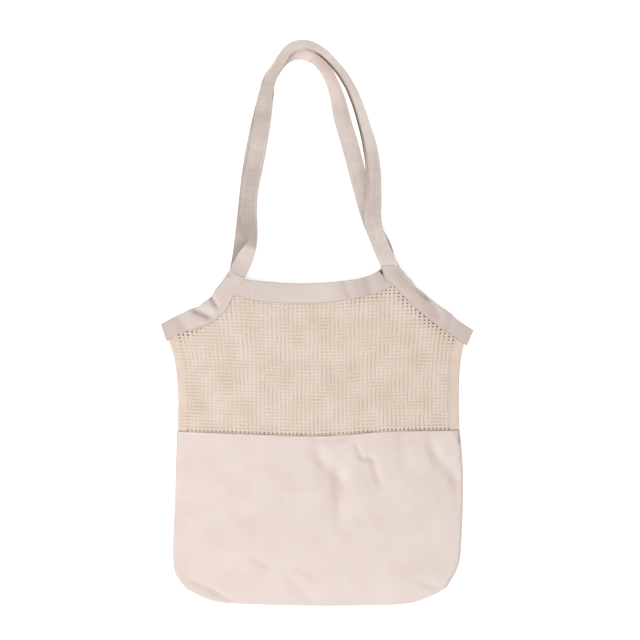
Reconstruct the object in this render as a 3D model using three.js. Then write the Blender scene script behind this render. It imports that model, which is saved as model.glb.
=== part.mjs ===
// A cotton tote bag that lies on its back: canvas below, knitted net above, a canvas band round
// the mouth, bound armholes and two long tape straps. Millimetres, +Z up, +Y towards the top of
// the straps, origin under the middle of the whole. Left and right are the viewer's.
import * as THREE from "three";

// ---- Driving dimensions -------------------------------------------------------------------

const CANVAS_THICKNESS = 1.2;
const NET_THICKNESS = 1.4;
const TRIM_THICKNESS = 2; // folded canvas of the bands and bindings
const TAPE_THICKNESS = 2;
const TAPE_WIDTH = 22;
const SEAM_GAP = 0.6; // between two sheets that meet edge to edge
const STACK_GAP = 0.3; // between two sheets that lie on each other

// Outline of the body, seen from above: the two side seams from the rounded lower corners up to
// the pointed side tips, the bottom seam, and the seam between the canvas and the net.
const LEFT_SIDE = [
  [-172, -347], [-185, -327], [-188.5, -297], [-186, -235], [-182, -150], [-182, -85],
  [-186, -50], [-193.3, -22.4],
];
const RIGHT_SIDE = [
  [171, -344], [185, -318], [190.5, -288], [191.5, -205], [187, -140], [186.5, -90],
  [188, -56], [192, -27.6],
];
const BOTTOM_SEAM = [
  [-172, -347], [-150, -359.5], [-118, -366], [-40, -368.5], [40, -369], [117, -368],
  [150, -358.5], [171, -344],
];
const NET_SEAM = [
  [-182, -141.5], [-90, -144], [5, -146.5], [90, -141], [187, -140],
];

// Armhole bindings: centre lines from the side tip up to the root of the strap.
const LEFT_ARMHOLE = [
  [-197.4, -11.7], [-177.5, -1], [-155, 8], [-135, 20.5], [-118.3, 39.2], [-104.6, 61.3],
];
const RIGHT_ARMHOLE = [
  [198.4, -18.9], [178, -4.8], [157, 9.5], [136.5, 27.2], [116, 46.8], [103, 62], [93.8, 76.5],
];
const LEFT_BINDING_WIDTH = 22.5;
const RIGHT_BINDING_WIDTH = 21;
const BAND_START = 0.83; // share of the binding's length where the mouth band's lower edge meets it

// Mouth bands: their inner points; the ends lie on the bindings. The back one hangs lower.
const FRONT_BAND_TOP = [[-70, 54.2], [-20, 51.4], [30, 54.2], [66, 60.5]];
const FRONT_BAND_BOTTOM = [[-88, 30.6], [-60, 26.6], [-15, 25], [30, 28.4], [70, 36.4]];
const BACK_BAND_TOP = [[-72, 40], [-20, 31], [30, 35], [68, 49]];
const BACK_BAND_BOTTOM = [[-88, 19.5], [-60, 10.5], [-15, 7.5], [30, 11.5], [70, 25]];

// How far the front stands off the back: full in the pouch, less at the mouth.
const POUCH_RISE = 21;
const MOUTH_RISE = 12.5;
const POUCH_TOP = -190; // y where the front starts to come down towards the mouth
const MOUTH = 45; // y where it is down to the mouth's height
const SIDE_REACH = 190; // distance from a side seam at which the front is at its height
const SIDE_ROUNDING = 2.7;
const BOTTOM_REACH = 105;
const BOTTOM_ROUNDING = 2.2;

// Soft folds in the front canvas: from, to, half width and height.
const CANVAS_FOLDS = [
  { from: [4, -158], to: [14, -240], spread: 12, height: -1.6 },
  { from: [50, -160], to: [82, -210], spread: 10, height: 1.8 },
  { from: [150, -158], to: [184, -222], spread: 11, height: -1.4 },
  { from: [-36, -330], to: [2, -360], spread: 10, height: 1.2 },
];

// Strap routes between the roots: x, y, height of the lower edge and roll in degrees (inner edge
// up; outer edge up where it is negative). The roots themselves lie on the ends of the bindings.
const FRONT_STRAP_ROUTE = [
  [-94.5, 83.6, 9.5, -20], [-84.2, 107.5, 3, -60], [-85.8, 137.7, 3, -16], [-86.7, 169.8, 2.6, 0],
  [-80.7, 209.8, 2.6, 0], [-74.3, 249.7, 2.6, 4], [-69.1, 279.5, 2.9, 12], [-66, 297.9, 4.4, 31],
  [-60.6, 312.3, 6.6, 50], [-54.3, 324.8, 6.2, 52], [-47.6, 337.5, 4.2, 51],
  [-39.1, 351.2, 2.2, 49], [-28.5, 360, 0.8, 49], [-15.9, 361.9, 0.3, 47], [-3, 359, 0, 48],
  [9, 350.9, 0, 52], [23.5, 336.4, 0, 54], [36.9, 319, 0, 53], [50.3, 293.1, 0, 49],
  [62.5, 256.4, 0, 40], [69.5, 225.6, 1, 22], [72.8, 193.7, 2.6, 8], [73.9, 155.8, 3.6, 4],
  [81.8, 108.7, 8, 4],
];
const BACK_STRAP_ROUTE = [
  [-100.5, 88, 0, 0], [-98, 118, 0, 0], [-93.5, 152, 0, 0], [-87, 194, 0, 0], [-79, 238, 0, 2],
  [-71.6, 275.9, 0, 8], [-67.1, 296.6, 0, 21], [-62.3, 312.8, 0, 38], [-53.4, 327.5, 0, 34],
  [-42.9, 340.8, 0, 27], [-30.4, 349.8, 0, 12], [-17.8, 352, 0, 8], [-5.9, 349, 0, 14],
  [2, 341.8, 0, 34], [10.4, 330.8, 0, 40], [17.2, 319.4, 0, 40], [24, 303.3, 0, 35],
  [29, 285.6, 0, 22], [34, 263.9, 0, 8], [43.1, 233.6, 0, 0], [53.5, 194, 0, 0],
  [63.5, 157, 0, 0], [74.5, 124, 0, 0], [87, 98, 0, 0],
];

// Mesh fineness.
const BODY_COLUMNS = 36;
const FRONT_CANVAS_ROWS = 18;
const FRONT_NET_ROWS = 10;
const BACK_ROWS = 6;
const BAND_COLUMNS = 26;
const BAND_ROWS = 2;
const BINDING_STEPS = 14;
const BINDING_LANES = 2;
const STRAP_STEPS = 104;
const STRAP_LANES = 3;
const ROOT_SHARE = 0.06; // share of a strap's length over which it turns square to its root
const OUTLINE_SAMPLES = 90;
const SEAM_CLEARANCE = 12; // a side seam's own points keep this far from the net seam's end

// ---- Plan curves --------------------------------------------------------------------------

const spline = (points) => new THREE.SplineCurve(points.map(([x, y]) => new THREE.Vector2(x, y)));

/** A plan curve that runs beside another one; a positive distance is to its left. */
class BesideCurve extends THREE.Curve {
  constructor(base, distance, from = 0, to = 1) {
    super();
    Object.assign(this, { base, distance, from, to });
  }

  getPoint(t, target = new THREE.Vector2()) {
    const along = this.from + (this.to - this.from) * t;
    const tangent = this.base.getTangent(along);
    const point = this.base.getPoint(along);
    return target.set(
      point.x - tangent.y * this.distance,
      point.y + tangent.x * this.distance,
    );
  }
}

/** The points of a side seam that are clear below or above the net seam's end. */
function sidePoints(side, seamEnd, above) {
  const clear = (y) => (above ? y > seamEnd.y + SEAM_CLEARANCE : y < seamEnd.y - SEAM_CLEARANCE);
  return side.filter(([, y]) => clear(y));
}

/** A four-sided patch between its bottom, top, left and right curves (a Coons patch). */
function patchBetween({ bottom, top, left, right }) {
  const corners = [bottom.getPoint(0), bottom.getPoint(1), top.getPoint(0), top.getPoint(1)];
  return (u, v) => {
    const point = new THREE.Vector2();
    point.addScaledVector(bottom.getPointAt(u), 1 - v).addScaledVector(top.getPointAt(u), v);
    point.addScaledVector(left.getPointAt(v), 1 - u).addScaledVector(right.getPointAt(v), u);
    const weights = [(1 - u) * (1 - v), u * (1 - v), (1 - u) * v, u * v];
    weights.forEach((weight, k) => point.addScaledVector(corners[k], -weight));
    return point;
  };
}

// ---- Height of the front ------------------------------------------------------------------

const sideSamples = [LEFT_SIDE, RIGHT_SIDE].flatMap((side) => spline(side).getPoints(OUTLINE_SAMPLES));
const bottomSamples = spline(BOTTOM_SEAM).getPoints(OUTLINE_SAMPLES);
const tips = [LEFT_ARMHOLE[0], RIGHT_ARMHOLE[0]].map(([x, y]) => new THREE.Vector2(x, y));

function nearest(samples, x, y) {
  return Math.min(...samples.map((sample) => Math.hypot(sample.x - x, sample.y - y)));
}

/** 0 at a seam and 1 from `reach` inwards, rising like a filled cushion. */
function cushion(distance, reach, rounding) {
  return 1 - (1 - Math.min(distance / reach, 1)) ** rounding;
}

/** How far the front stands off the back at a place in the plan. */
function frontRise(x, y) {
  const towardsMouth = THREE.MathUtils.smoothstep(y, POUCH_TOP, MOUTH);
  const full = THREE.MathUtils.lerp(POUCH_RISE, MOUTH_RISE, towardsMouth);
  const side = cushion(nearest([...sideSamples, ...tips], x, y), SIDE_REACH, SIDE_ROUNDING);
  return full * side * cushion(nearest(bottomSamples, x, y), BOTTOM_REACH, BOTTOM_ROUNDING);
}

/** Relief of the soft folds, which dies away before the seams. */
function foldRelief(x, y) {
  const place = new THREE.Vector3(x, y, 0);
  const onFold = new THREE.Vector3();
  const relief = CANVAS_FOLDS.reduce((sum, { from, to, spread, height }) => {
    const line = new THREE.Line3(new THREE.Vector3(...from, 0), new THREE.Vector3(...to, 0));
    line.closestPointToPoint(place, true, onFold);
    return sum + height * Math.exp(-((place.distanceTo(onFold) / spread) ** 2));
  }, 0);
  return relief * Math.min(nearest([...sideSamples, ...bottomSamples], x, y) / 25, 1);
}

const onFloor = () => 0;
const netLevel = (x, y) => NET_THICKNESS + STACK_GAP + frontRise(x, y);
const canvasLevel = (x, y) => netLevel(x, y) + foldRelief(x, y);
const trimLevel = (x, y) => TRIM_THICKNESS + STACK_GAP + frontRise(x, y);

// ---- Closed meshes ------------------------------------------------------------------------

function closedGeometry(positions, index) {
  const geometry = new THREE.BufferGeometry();
  geometry.setAttribute("position", new THREE.Float32BufferAttribute(positions, 3));
  geometry.setIndex(index);
  geometry.computeVertexNormals();
  return geometry;
}

/** A sheet over a patch: a lower and an upper skin, joined round the rim. */
function sheetGeometry(patch, columns, rows, level, thickness) {
  const positions = [];
  const index = [];
  const across = columns + 1;
  const skin = across * (rows + 1);
  for (const lift of [0, thickness]) {
    for (let j = 0; j <= rows; j++) {
      for (let i = 0; i <= columns; i++) {
        const { x, y } = patch(i / columns, j / rows);
        positions.push(x, y, level(x, y) + lift);
      }
    }
  }
  for (let j = 0; j < rows; j++) {
    for (let i = 0; i < columns; i++) {
      const a = j * across + i;
      const [b, c, d] = [a + 1, a + 1 + across, a + across];
      index.push(a, c, b, a, d, c);
      index.push(skin + a, skin + b, skin + c, skin + a, skin + c, skin + d);
    }
  }
  const wall = (a, b) => index.push(a, b, skin + b, a, skin + b, skin + a);
  for (let i = 0; i < columns; i++) {
    wall(i, i + 1);
    wall(rows * across + i + 1, rows * across + i);
  }
  for (let j = 0; j < rows; j++) {
    wall((j + 1) * across, j * across);
    wall(j * across + columns, (j + 1) * across + columns);
  }
  return closedGeometry(positions, index);
}

/**
 * A tape along a route between two roots; its roll turns it about its own length, with the inner
 * edge up where it is positive. At each root it is cut square to `ends`, the direction in which the binding meets it.
 */
function tapeGeometry(route, ends) {
  const path = new THREE.CatmullRomCurve3(
    route.map(([x, y, lift]) => new THREE.Vector3(x, y, lift)), false, "catmullrom", 0.5);
  const rolls = new THREE.CatmullRomCurve3(
    route.map((stop) => new THREE.Vector3(stop[3], 0, 0)), false, "catmullrom", 0.5);
  const ring = 2 * (STRAP_LANES + 1);
  const positions = [];
  const index = [];
  for (let k = 0; k <= STRAP_STEPS; k++) {
    const t = k / STRAP_STEPS;
    const roll = THREE.MathUtils.degToRad(rolls.getPoint(t).x);
    const tangent = path.getTangent(t).setZ(0).normalize();
    tangent.lerp(ends[0], 1 - THREE.MathUtils.smoothstep(t, 0, ROOT_SHARE));
    tangent.lerp(ends[1], THREE.MathUtils.smoothstep(t, 1 - ROOT_SHARE, 1)).normalize();
    const outward = new THREE.Vector3(-tangent.y, tangent.x, 0);
    const lane = outward.clone().multiplyScalar(Math.cos(roll)).setZ(-Math.sin(roll));
    const normal = outward.clone().multiplyScalar(Math.sin(roll)).setZ(Math.cos(roll));
    const centre = path.getPoint(t);
    centre.z = Math.max(centre.z, 0);
    centre.z += (TAPE_WIDTH * Math.abs(Math.sin(roll)) + TAPE_THICKNESS * Math.cos(roll)) / 2;
    for (const side of [1, -1]) {
      for (let m = 0; m <= STRAP_LANES; m++) {
        const across = side * (m / STRAP_LANES - 0.5) * TAPE_WIDTH;
        const corner = centre.clone().addScaledVector(lane, across);
        corner.addScaledVector(normal, (side * TAPE_THICKNESS) / 2);
        positions.push(corner.x, corner.y, corner.z);
      }
    }
  }
  for (let k = 0; k < STRAP_STEPS; k++) {
    for (let m = 0; m < ring; m++) {
      const [a, b] = [k * ring + m, k * ring + ((m + 1) % ring)];
      index.push(a, b + ring, b, a, a + ring, b + ring);
    }
  }
  const last = STRAP_STEPS * ring;
  for (let m = 0; m < STRAP_LANES; m++) {
    const [a, b, c, d] = [m, m + 1, ring - 2 - m, ring - 1 - m];
    index.push(a, c, d, a, b, c);
    index.push(last + a, last + d, last + c, last + a, last + c, last + b);
  }
  return closedGeometry(positions, index);
}

// ---- Materials ----------------------------------------------------------------------------

const cotton = (color, roughness) => new THREE.MeshStandardMaterial({ color, roughness, metalness: 0 });
const materials = {
  canvas: cotton(0xeadbd3, 0.92),
  net: cotton(0xe1d0c1, 0.95),
  trim: cotton(0xdfd0ca, 0.9),
  tape: cotton(0xcfbfb9, 0.9),
};

// ---- The bag ------------------------------------------------------------------------------

const bag = new THREE.Group();

function add(name, geometry, material) {
  const mesh = new THREE.Mesh(geometry, material);
  mesh.name = name;
  bag.add(mesh);
}

const armholes = [
  { side: "left", centre: spline(LEFT_ARMHOLE), width: LEFT_BINDING_WIDTH, inward: -1 },
  { side: "right", centre: spline(RIGHT_ARMHOLE), width: RIGHT_BINDING_WIDTH, inward: 1 },
];
const [leftArmhole, rightArmhole] = armholes;

/** The line on which a neighbour meets a binding's inner edge, between two shares of its length. */
function besideBinding({ centre, width, inward }, from, to) {
  return new BesideCurve(centre, inward * (width / 2 + SEAM_GAP), from, to);
}

/** The lower panel, from the bottom seam up to the net. */
function canvasPatch() {
  const top = spline(NET_SEAM);
  const sideUp = (side, end) => spline([...sidePoints(side, end, false), [end.x, end.y]]);
  return patchBetween({
    bottom: spline(BOTTOM_SEAM),
    top,
    left: sideUp(LEFT_SIDE, top.getPoint(0)),
    right: sideUp(RIGHT_SIDE, top.getPoint(1)),
  });
}

/** The four edges of a band along the mouth, its ends on the two bindings. */
function bandEdges(topPoints, bottomPoints) {
  const left = besideBinding(leftArmhole, BAND_START, 1);
  const right = besideBinding(rightArmhole, BAND_START, 1);
  const between = (points, t) =>
    spline([left.getPoint(t).toArray(), ...points, right.getPoint(t).toArray()]);
  return { left, right, top: between(topPoints, 1), bottom: between(bottomPoints, 0) };
}

/** The net, from the canvas up to the armhole bindings and the band. */
function netPatch(band) {
  const bottom = new BesideCurve(spline(NET_SEAM), SEAM_GAP);
  const leftUp = besideBinding(leftArmhole, 0, BAND_START);
  const rightDown = besideBinding(rightArmhole, BAND_START, 0);
  const top = new THREE.CurvePath();
  top.add(leftUp);
  top.add(new BesideCurve(band.bottom, -SEAM_GAP));
  top.add(rightDown);
  const sideUp = (side, start, tip) =>
    spline([start.toArray(), ...sidePoints(side.slice(0, -1), start, true), tip.toArray()]);
  return patchBetween({
    bottom,
    top,
    left: sideUp(LEFT_SIDE, bottom.getPoint(0), leftUp.getPoint(0)),
    right: sideUp(RIGHT_SIDE, bottom.getPoint(1), rightDown.getPoint(1)),
  });
}

/** A strap from the end of the left binding to the end of the right one. */
function strapGeometry(route, level) {
  const roots = armholes.map(({ centre }) => {
    const along = centre.getTangent(1);
    const root = centre.getPoint(1).addScaledVector(along, SEAM_GAP);
    return { along, stop: [root.x, root.y, level(root.x, root.y), 0] };
  });
  const ends = [roots[0].along, roots[1].along.negate()].map(({ x, y }) => new THREE.Vector3(x, y, 0));
  return tapeGeometry([roots[0].stop, ...route, roots[1].stop], ends);
}

const bindingPatch = ({ centre, width }) => (u, v) =>
  new BesideCurve(centre, (v - 0.5) * width).getPoint(u);

const faces = [
  {
    face: "back",
    levels: { canvas: onFloor, net: onFloor, trim: onFloor },
    rows: { canvas: BACK_ROWS, net: BACK_ROWS },
    band: [BACK_BAND_TOP, BACK_BAND_BOTTOM],
    route: BACK_STRAP_ROUTE,
  },
  {
    face: "front",
    levels: { canvas: canvasLevel, net: netLevel, trim: trimLevel },
    rows: { canvas: FRONT_CANVAS_ROWS, net: FRONT_NET_ROWS },
    band: [FRONT_BAND_TOP, FRONT_BAND_BOTTOM],
    route: FRONT_STRAP_ROUTE,
  },
];

for (const { face, levels, rows, band, route } of faces) {
  const canvas = sheetGeometry(canvasPatch(), BODY_COLUMNS, rows.canvas, levels.canvas, CANVAS_THICKNESS);
  const edges = bandEdges(...band);
  const net = sheetGeometry(netPatch(edges), BODY_COLUMNS, rows.net, levels.net, NET_THICKNESS);
  const topBand = sheetGeometry(
    patchBetween(edges), BAND_COLUMNS, BAND_ROWS, levels.trim, TRIM_THICKNESS);
  add(`canvas_${face}`, canvas, materials.canvas);
  add(`net_${face}`, net, materials.net);
  add(`top_band_${face}`, topBand, materials.trim);
  for (const armhole of armholes) {
    const strip = sheetGeometry(
      bindingPatch(armhole), BINDING_STEPS, BINDING_LANES, levels.trim, TRIM_THICKNESS);
    add(`binding_${face}_${armhole.side}`, strip, materials.trim);
  }
  add(`strap_${face}`, strapGeometry(route, levels.trim), materials.tape);
}

export default bag;
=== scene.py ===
"""A natural cotton tote bag lying on its back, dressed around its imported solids.

The bag has a canvas pouch, a net upper part, a canvas band round the mouth, bound armholes and two
long tape straps. Shapes are worked out in millimetres from the same outlines as the solids and
become metres where a mesh is made. X runs across the bag, Y towards the top of the straps and Z up.
"""

from __future__ import annotations

import logging
import math
from collections.abc import Sequence
from dataclasses import dataclass
from enum import Enum
from functools import cached_property
from typing import ClassVar

import bpy
import numpy as np
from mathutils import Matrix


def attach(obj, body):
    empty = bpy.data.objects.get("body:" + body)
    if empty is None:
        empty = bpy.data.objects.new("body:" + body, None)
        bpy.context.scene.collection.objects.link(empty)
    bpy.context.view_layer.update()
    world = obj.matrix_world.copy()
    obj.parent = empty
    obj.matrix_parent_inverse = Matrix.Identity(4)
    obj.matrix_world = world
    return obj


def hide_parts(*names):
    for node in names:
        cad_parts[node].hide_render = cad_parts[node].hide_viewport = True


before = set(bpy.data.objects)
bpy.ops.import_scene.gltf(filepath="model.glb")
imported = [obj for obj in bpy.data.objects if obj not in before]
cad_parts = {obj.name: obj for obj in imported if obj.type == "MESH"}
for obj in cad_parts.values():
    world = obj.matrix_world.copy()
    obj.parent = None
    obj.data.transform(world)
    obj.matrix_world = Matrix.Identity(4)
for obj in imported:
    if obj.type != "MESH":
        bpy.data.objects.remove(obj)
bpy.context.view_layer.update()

log = logging.getLogger("tote")

Array = np.ndarray
Points = Sequence[Sequence[float]]
Colour = tuple[float, float, float, float]
WHITE: Colour = (1.0, 1.0, 1.0, 1.0)

MM = 0.001
BODY = "root"
CLOTH_PLACE = "cloth_place"


class Face(Enum):
    """The two faces of the bag; the front one is shown."""

    FRONT = "front"
    BACK = "back"

    @property
    def outward(self) -> float:
        """1 where the outside of this face looks up, -1 where it looks down."""
        return 1.0 if self is Face.FRONT else -1.0


class Side(Enum):
    """The two sides of the bag, as the viewer sees them."""

    LEFT = "left"
    RIGHT = "right"


# ---- Numbers and curves ---------------------------------------------------------------------


def ease(x: Array, low: float, high: float) -> Array:
    """Smooth step.

    Args:
        x: Values to place between the limits.
        low: Where the step starts.
        high: Where it is complete.

    Returns:
        0 below `low`, 1 above `high` and a smooth curve between them.
    """
    t = np.clip((x - low) / (high - low), 0.0, 1.0)
    return t * t * (3.0 - 2.0 * t)


def roundness(distance: Array, radius: float) -> Array:
    """Rise of a rounded edge.

    Args:
        distance: Distance from the edge.
        radius: Where the edge has reached its full height.

    Returns:
        0 at the edge and 1 from the radius inwards, along a quarter of an ellipse.
    """
    return np.sqrt(np.clip(1.0 - (1.0 - np.clip(distance / radius, 0.0, 1.0)) ** 2, 0.0, 1.0))


def cushion(distance: Array, reach: float, rounding: float) -> Array:
    """Rise of a filled cushion from its seam.

    Args:
        distance: Distance from the seam.
        reach: Distance at which the cushion is at its full height.
        rounding: How quickly it gets there; 1 is a straight slope.

    Returns:
        0 at the seam and 1 from the reach inwards.
    """
    return 1.0 - (1.0 - np.minimum(distance / reach, 1.0)) ** rounding


def through(stops: Points, t: Array, extend: bool = False) -> Array:
    """A uniform Catmull-Rom curve through stops of any width.

    Args:
        stops: The values at the stops, one row each.
        t: Shares of the way from the first stop to the last, counted in stops.
        extend: Whether the ends run on straight, as a route in space does.

    Returns:
        The curve's values, one row for each share.
    """
    rows = np.asarray(stops, float)
    first = 2 * rows[0] - rows[1] if extend else rows[0]
    last = 2 * rows[-1] - rows[-2] if extend else rows[-1]
    padded = np.vstack([first, rows, last])
    place = np.clip(t, 0.0, 1.0) * (len(rows) - 1)
    k = np.minimum(place.astype(int), len(rows) - 2)
    w = (place - k)[:, None]
    a, b, c, d = (padded[k + shift] for shift in range(4))
    cubic = (-a + 3 * b - 3 * c + d) * w**3 + (2 * a - 5 * b + 4 * c - d) * w**2 + (c - a) * w
    return b + 0.5 * cubic


def bell(x: Array, middle: float, width: float) -> Array:
    """A bell curve.

    Args:
        x: The values.
        middle: Where the curve is 1.
        width: How far from there it has fallen to 0.37.

    Returns:
        1 at the middle, fading to 0 on both sides.
    """
    return np.exp(-(((x - middle) / width) ** 2))


def sampled(places: Array, known: Array, rows: Array) -> Array:
    """Values between known places.

    Args:
        places: Where to read them.
        known: Where the rows are, in rising order.
        rows: One row of values for each known place.

    Returns:
        The values at the places, along a new last axis.
    """
    return np.stack([np.interp(places, known, column) for column in rows.T], -1)


def unit(vectors: Array) -> Array:
    """The vectors at length 1."""
    return vectors / np.linalg.norm(vectors, axis=-1, keepdims=True)


def stepped_length(paths: Array, axis: int) -> Array:
    """How far along its path each point is.

    Args:
        paths: Points, their coordinates along the last axis.
        axis: The axis along which a path runs.

    Returns:
        Lengths from the start of each path.
    """
    start = np.take(paths, [0], axis)
    return np.cumsum(np.linalg.norm(np.diff(paths, axis=axis, prepend=start), axis=-1), axis=axis)


def normals_of(grid: Array) -> Array:
    """Normals of a skin.

    Args:
        grid: Rows and columns of points.

    Returns:
        Unit normals, upward where the columns run to the right and the rows away.
    """
    down_rows = np.gradient(grid, axis=0)
    along_columns = np.gradient(grid, axis=1)
    return unit(np.cross(along_columns, down_rows))


def graded(length: float, step: float, fine: Sequence[float]) -> Array:
    """Places along a length, close together at both ends.

    Args:
        length: The whole length.
        step: The spacing in the middle.
        fine: Distances from each end that get a place of their own.

    Returns:
        Shares of the length, from 0 to 1.
    """
    edge = np.asarray(fine, float)
    inner = length - 2 * edge[-1]
    middle = edge[-1] + np.linspace(0.0, inner, max(int(round(inner / step)), 1) + 1)[1:-1]
    return np.concatenate([edge, middle, length - edge[::-1]]) / length


class PlanLine:
    """A curve in the plan, held as a dense row of points."""

    SAMPLES = 400
    COARSE = 4
    AT_ONCE = 4096
    TINY = 1e-9

    def __init__(self, dense: Array) -> None:
        """Keeps the points and how far along each one is.

        Args:
            dense: The points, X and Y.
        """
        self.dense = dense
        steps = np.linalg.norm(np.diff(dense, axis=0), axis=1)
        self.length = float(steps.sum())
        self.reach = np.concatenate([[0.0], np.cumsum(steps)]) / self.length

    @classmethod
    def through(cls, stops: Points) -> PlanLine:
        """The smooth curve through the stops."""
        return cls(through(stops, np.linspace(0.0, 1.0, cls.SAMPLES + 1)))

    @classmethod
    def joined(cls, *lines: PlanLine) -> PlanLine:
        """The lines one after another."""
        return cls(np.vstack([line.dense for line in lines]))

    @cached_property
    def headings(self) -> Array:
        """Unit direction at each dense point."""
        return unit(np.gradient(self.dense, axis=0))

    def at(self, share: Array) -> Array:
        """Points at shares of the length."""
        return sampled(share, self.reach, self.dense)

    def heading(self, share: Array) -> Array:
        """Unit directions at shares of the length."""
        return unit(sampled(share, self.reach, self.headings))

    def beside(self, distance: float, start: float = 0.0, end: float = 1.0) -> PlanLine:
        """A line that runs beside part of this one.

        Args:
            distance: How far to the left of it; to the right if negative.
            start: Where the part starts, as a share of the dense points.
            end: Where it ends; before the start, it runs back.

        Returns:
            The line beside it.
        """
        index = np.linspace(start, end, self.SAMPLES + 1) * (len(self.dense) - 1)
        known = np.arange(len(self.dense))
        direction = sampled(index, known, self.headings)
        leftward = np.stack([-direction[:, 1], direction[:, 0]], -1)
        return PlanLine(sampled(index, known, self.dense) + distance * leftward)

    def distance(self, places: Array) -> Array:
        """Distance of places from the line.

        Args:
            places: X and Y along the last axis.

        Returns:
            The distance of each place from the nearest point of the line.
        """
        flat = places.reshape(-1, 2)
        knots = self.dense[:: self.COARSE]
        start, span = knots[:-1], np.diff(knots, axis=0)
        squared = np.maximum((span**2).sum(-1), self.TINY)
        found = np.empty(len(flat))
        for first in range(0, len(flat), self.AT_ONCE):
            some = slice(first, first + self.AT_ONCE)
            offset = flat[some, None, :] - start
            share = np.clip((offset * span).sum(-1) / squared, 0, 1)
            gap = offset - share[..., None] * span
            found[some] = np.sqrt((gap**2).sum(-1).min(1))
        return found.reshape(places.shape[:-1])


@dataclass(frozen=True)
class Patch:
    """A four-sided piece of cloth between its bottom, top, left and right edges."""

    bottom: PlanLine
    top: PlanLine
    left: PlanLine
    right: PlanLine

    def at(self, u: Array, v: Array) -> Array:
        """Places in the plan.

        Args:
            u: Shares of the way across.
            v: Shares of the way up, in the same shape.

        Returns:
            X and Y of each place.
        """
        across, up = u[..., None], v[..., None]
        edges = (1 - up) * self.bottom.at(u) + up * self.top.at(u)
        edges += (1 - across) * self.left.at(v) + across * self.right.at(v)
        low_left, low_right = self.bottom.dense[0], self.bottom.dense[-1]
        high_left, high_right = self.top.dense[0], self.top.dense[-1]
        low = (1 - across) * low_left + across * low_right
        high = (1 - across) * high_left + across * high_right
        return edges - (1 - up) * low - up * high


@dataclass(frozen=True)
class Ripple:
    """Smooth unevenness: a few plane waves with seeded directions."""

    seed: int
    shortest: float
    longest: float
    waves: int = 14

    def at(self, places: Array) -> Array:
        """The unevenness at places.

        Args:
            places: X and Y along the last axis.

        Returns:
            A height at each place, mostly between -1 and 1.
        """
        rng = np.random.default_rng(self.seed)
        angle = rng.uniform(0.0, math.tau, self.waves)
        wavelength = rng.uniform(self.shortest, self.longest, self.waves)
        phase = rng.uniform(0.0, math.tau, self.waves)
        turn = math.tau / wavelength
        along = places[..., 0, None] * np.cos(angle) + places[..., 1, None] * np.sin(angle)
        return np.sin(along * turn + phase).sum(-1) / math.sqrt(2 * self.waves)


@dataclass(frozen=True)
class Crease:
    """A fold that runs from one place to another: a valley with a bank on each side.

    Its banks are as wide as `left` and `right`, seen from its start. The left bank stands higher by
    `step`, a painted shade on the right bank and a weaker painted highlight on the left one are
    scaled by the fold's shading strength, and `tail` is how far the fold runs out.
    """

    start: tuple[float, float]
    end: tuple[float, float]
    depth: float
    left: float
    right: float
    step: float = 0.0
    # strength of the fold's painted shade on its right bank and painted highlight on its left bank
    painted_shading: float = 0.0
    tail: float = 0.0

    VALLEY_POWER: ClassVar[float] = 1.5
    STEP_REACH: ClassVar[float] = 3.0
    # where across the banks the painted shade and the painted highlight sit, and how strong the highlight
    # is
    DEEP_AT: ClassVar[float] = -0.4
    PALE_AT: ClassVar[float] = 0.9
    PALE_SHARE: ClassVar[float] = 0.45
    PALE_TIGHTNESS: ClassVar[float] = 2.0

    def felt(self, places: Array) -> tuple[Array, Array]:
        """Where places are with respect to the fold.

        Args:
            places: X and Y along the last axis.

        Returns:
            How far each place is to the left of the fold, and how much of the fold reaches it.
        """
        start, end = np.array(self.start), np.array(self.end)
        run = float(np.linalg.norm(end - start))
        along = (end - start) / run
        offset = places - start
        forward = offset @ along
        aside = offset[..., 1] * along[0] - offset[..., 0] * along[1]
        beyond = np.maximum(np.maximum(-forward, forward - run), 0.0)
        return aside, bell(beyond, 0.0, self.tail or self.left + self.right)

    def at(self, places: Array) -> Array:
        """The fold's shape.

        Args:
            places: X and Y along the last axis.

        Returns:
            The height that the fold adds at each place.
        """
        aside, fade = self.felt(places)
        bank = np.where(aside > 0, self.left, self.right)
        near = np.abs(aside) / bank
        valley = -self.depth * np.exp(-(near**self.VALLEY_POWER))
        flap = self.step * np.tanh(aside / min(self.left, self.right)) * bell(near, 0.0, self.STEP_REACH)
        return (valley + flap) * fade

    def shade(self, places: Array) -> Array:
        """The fold's painted shade and highlight.

        Args:
            places: X and Y along the last axis.

        Returns:
            Less than 0, a painted shade, on the right bank, and a little more than 0, a painted highlight,
            on the left one.
        """
        aside, fade = self.felt(places)
        deep = bell(aside / self.right, self.DEEP_AT, 1.0)
        pale = bell(aside / self.left, self.PALE_AT, 1.0) ** self.PALE_TIGHTNESS
        # painted shade on the right bank, painted highlight on the left one
        return self.painted_shading * (self.PALE_SHARE * pale - deep) * fade


# ---- Meshes ---------------------------------------------------------------------------------


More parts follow.
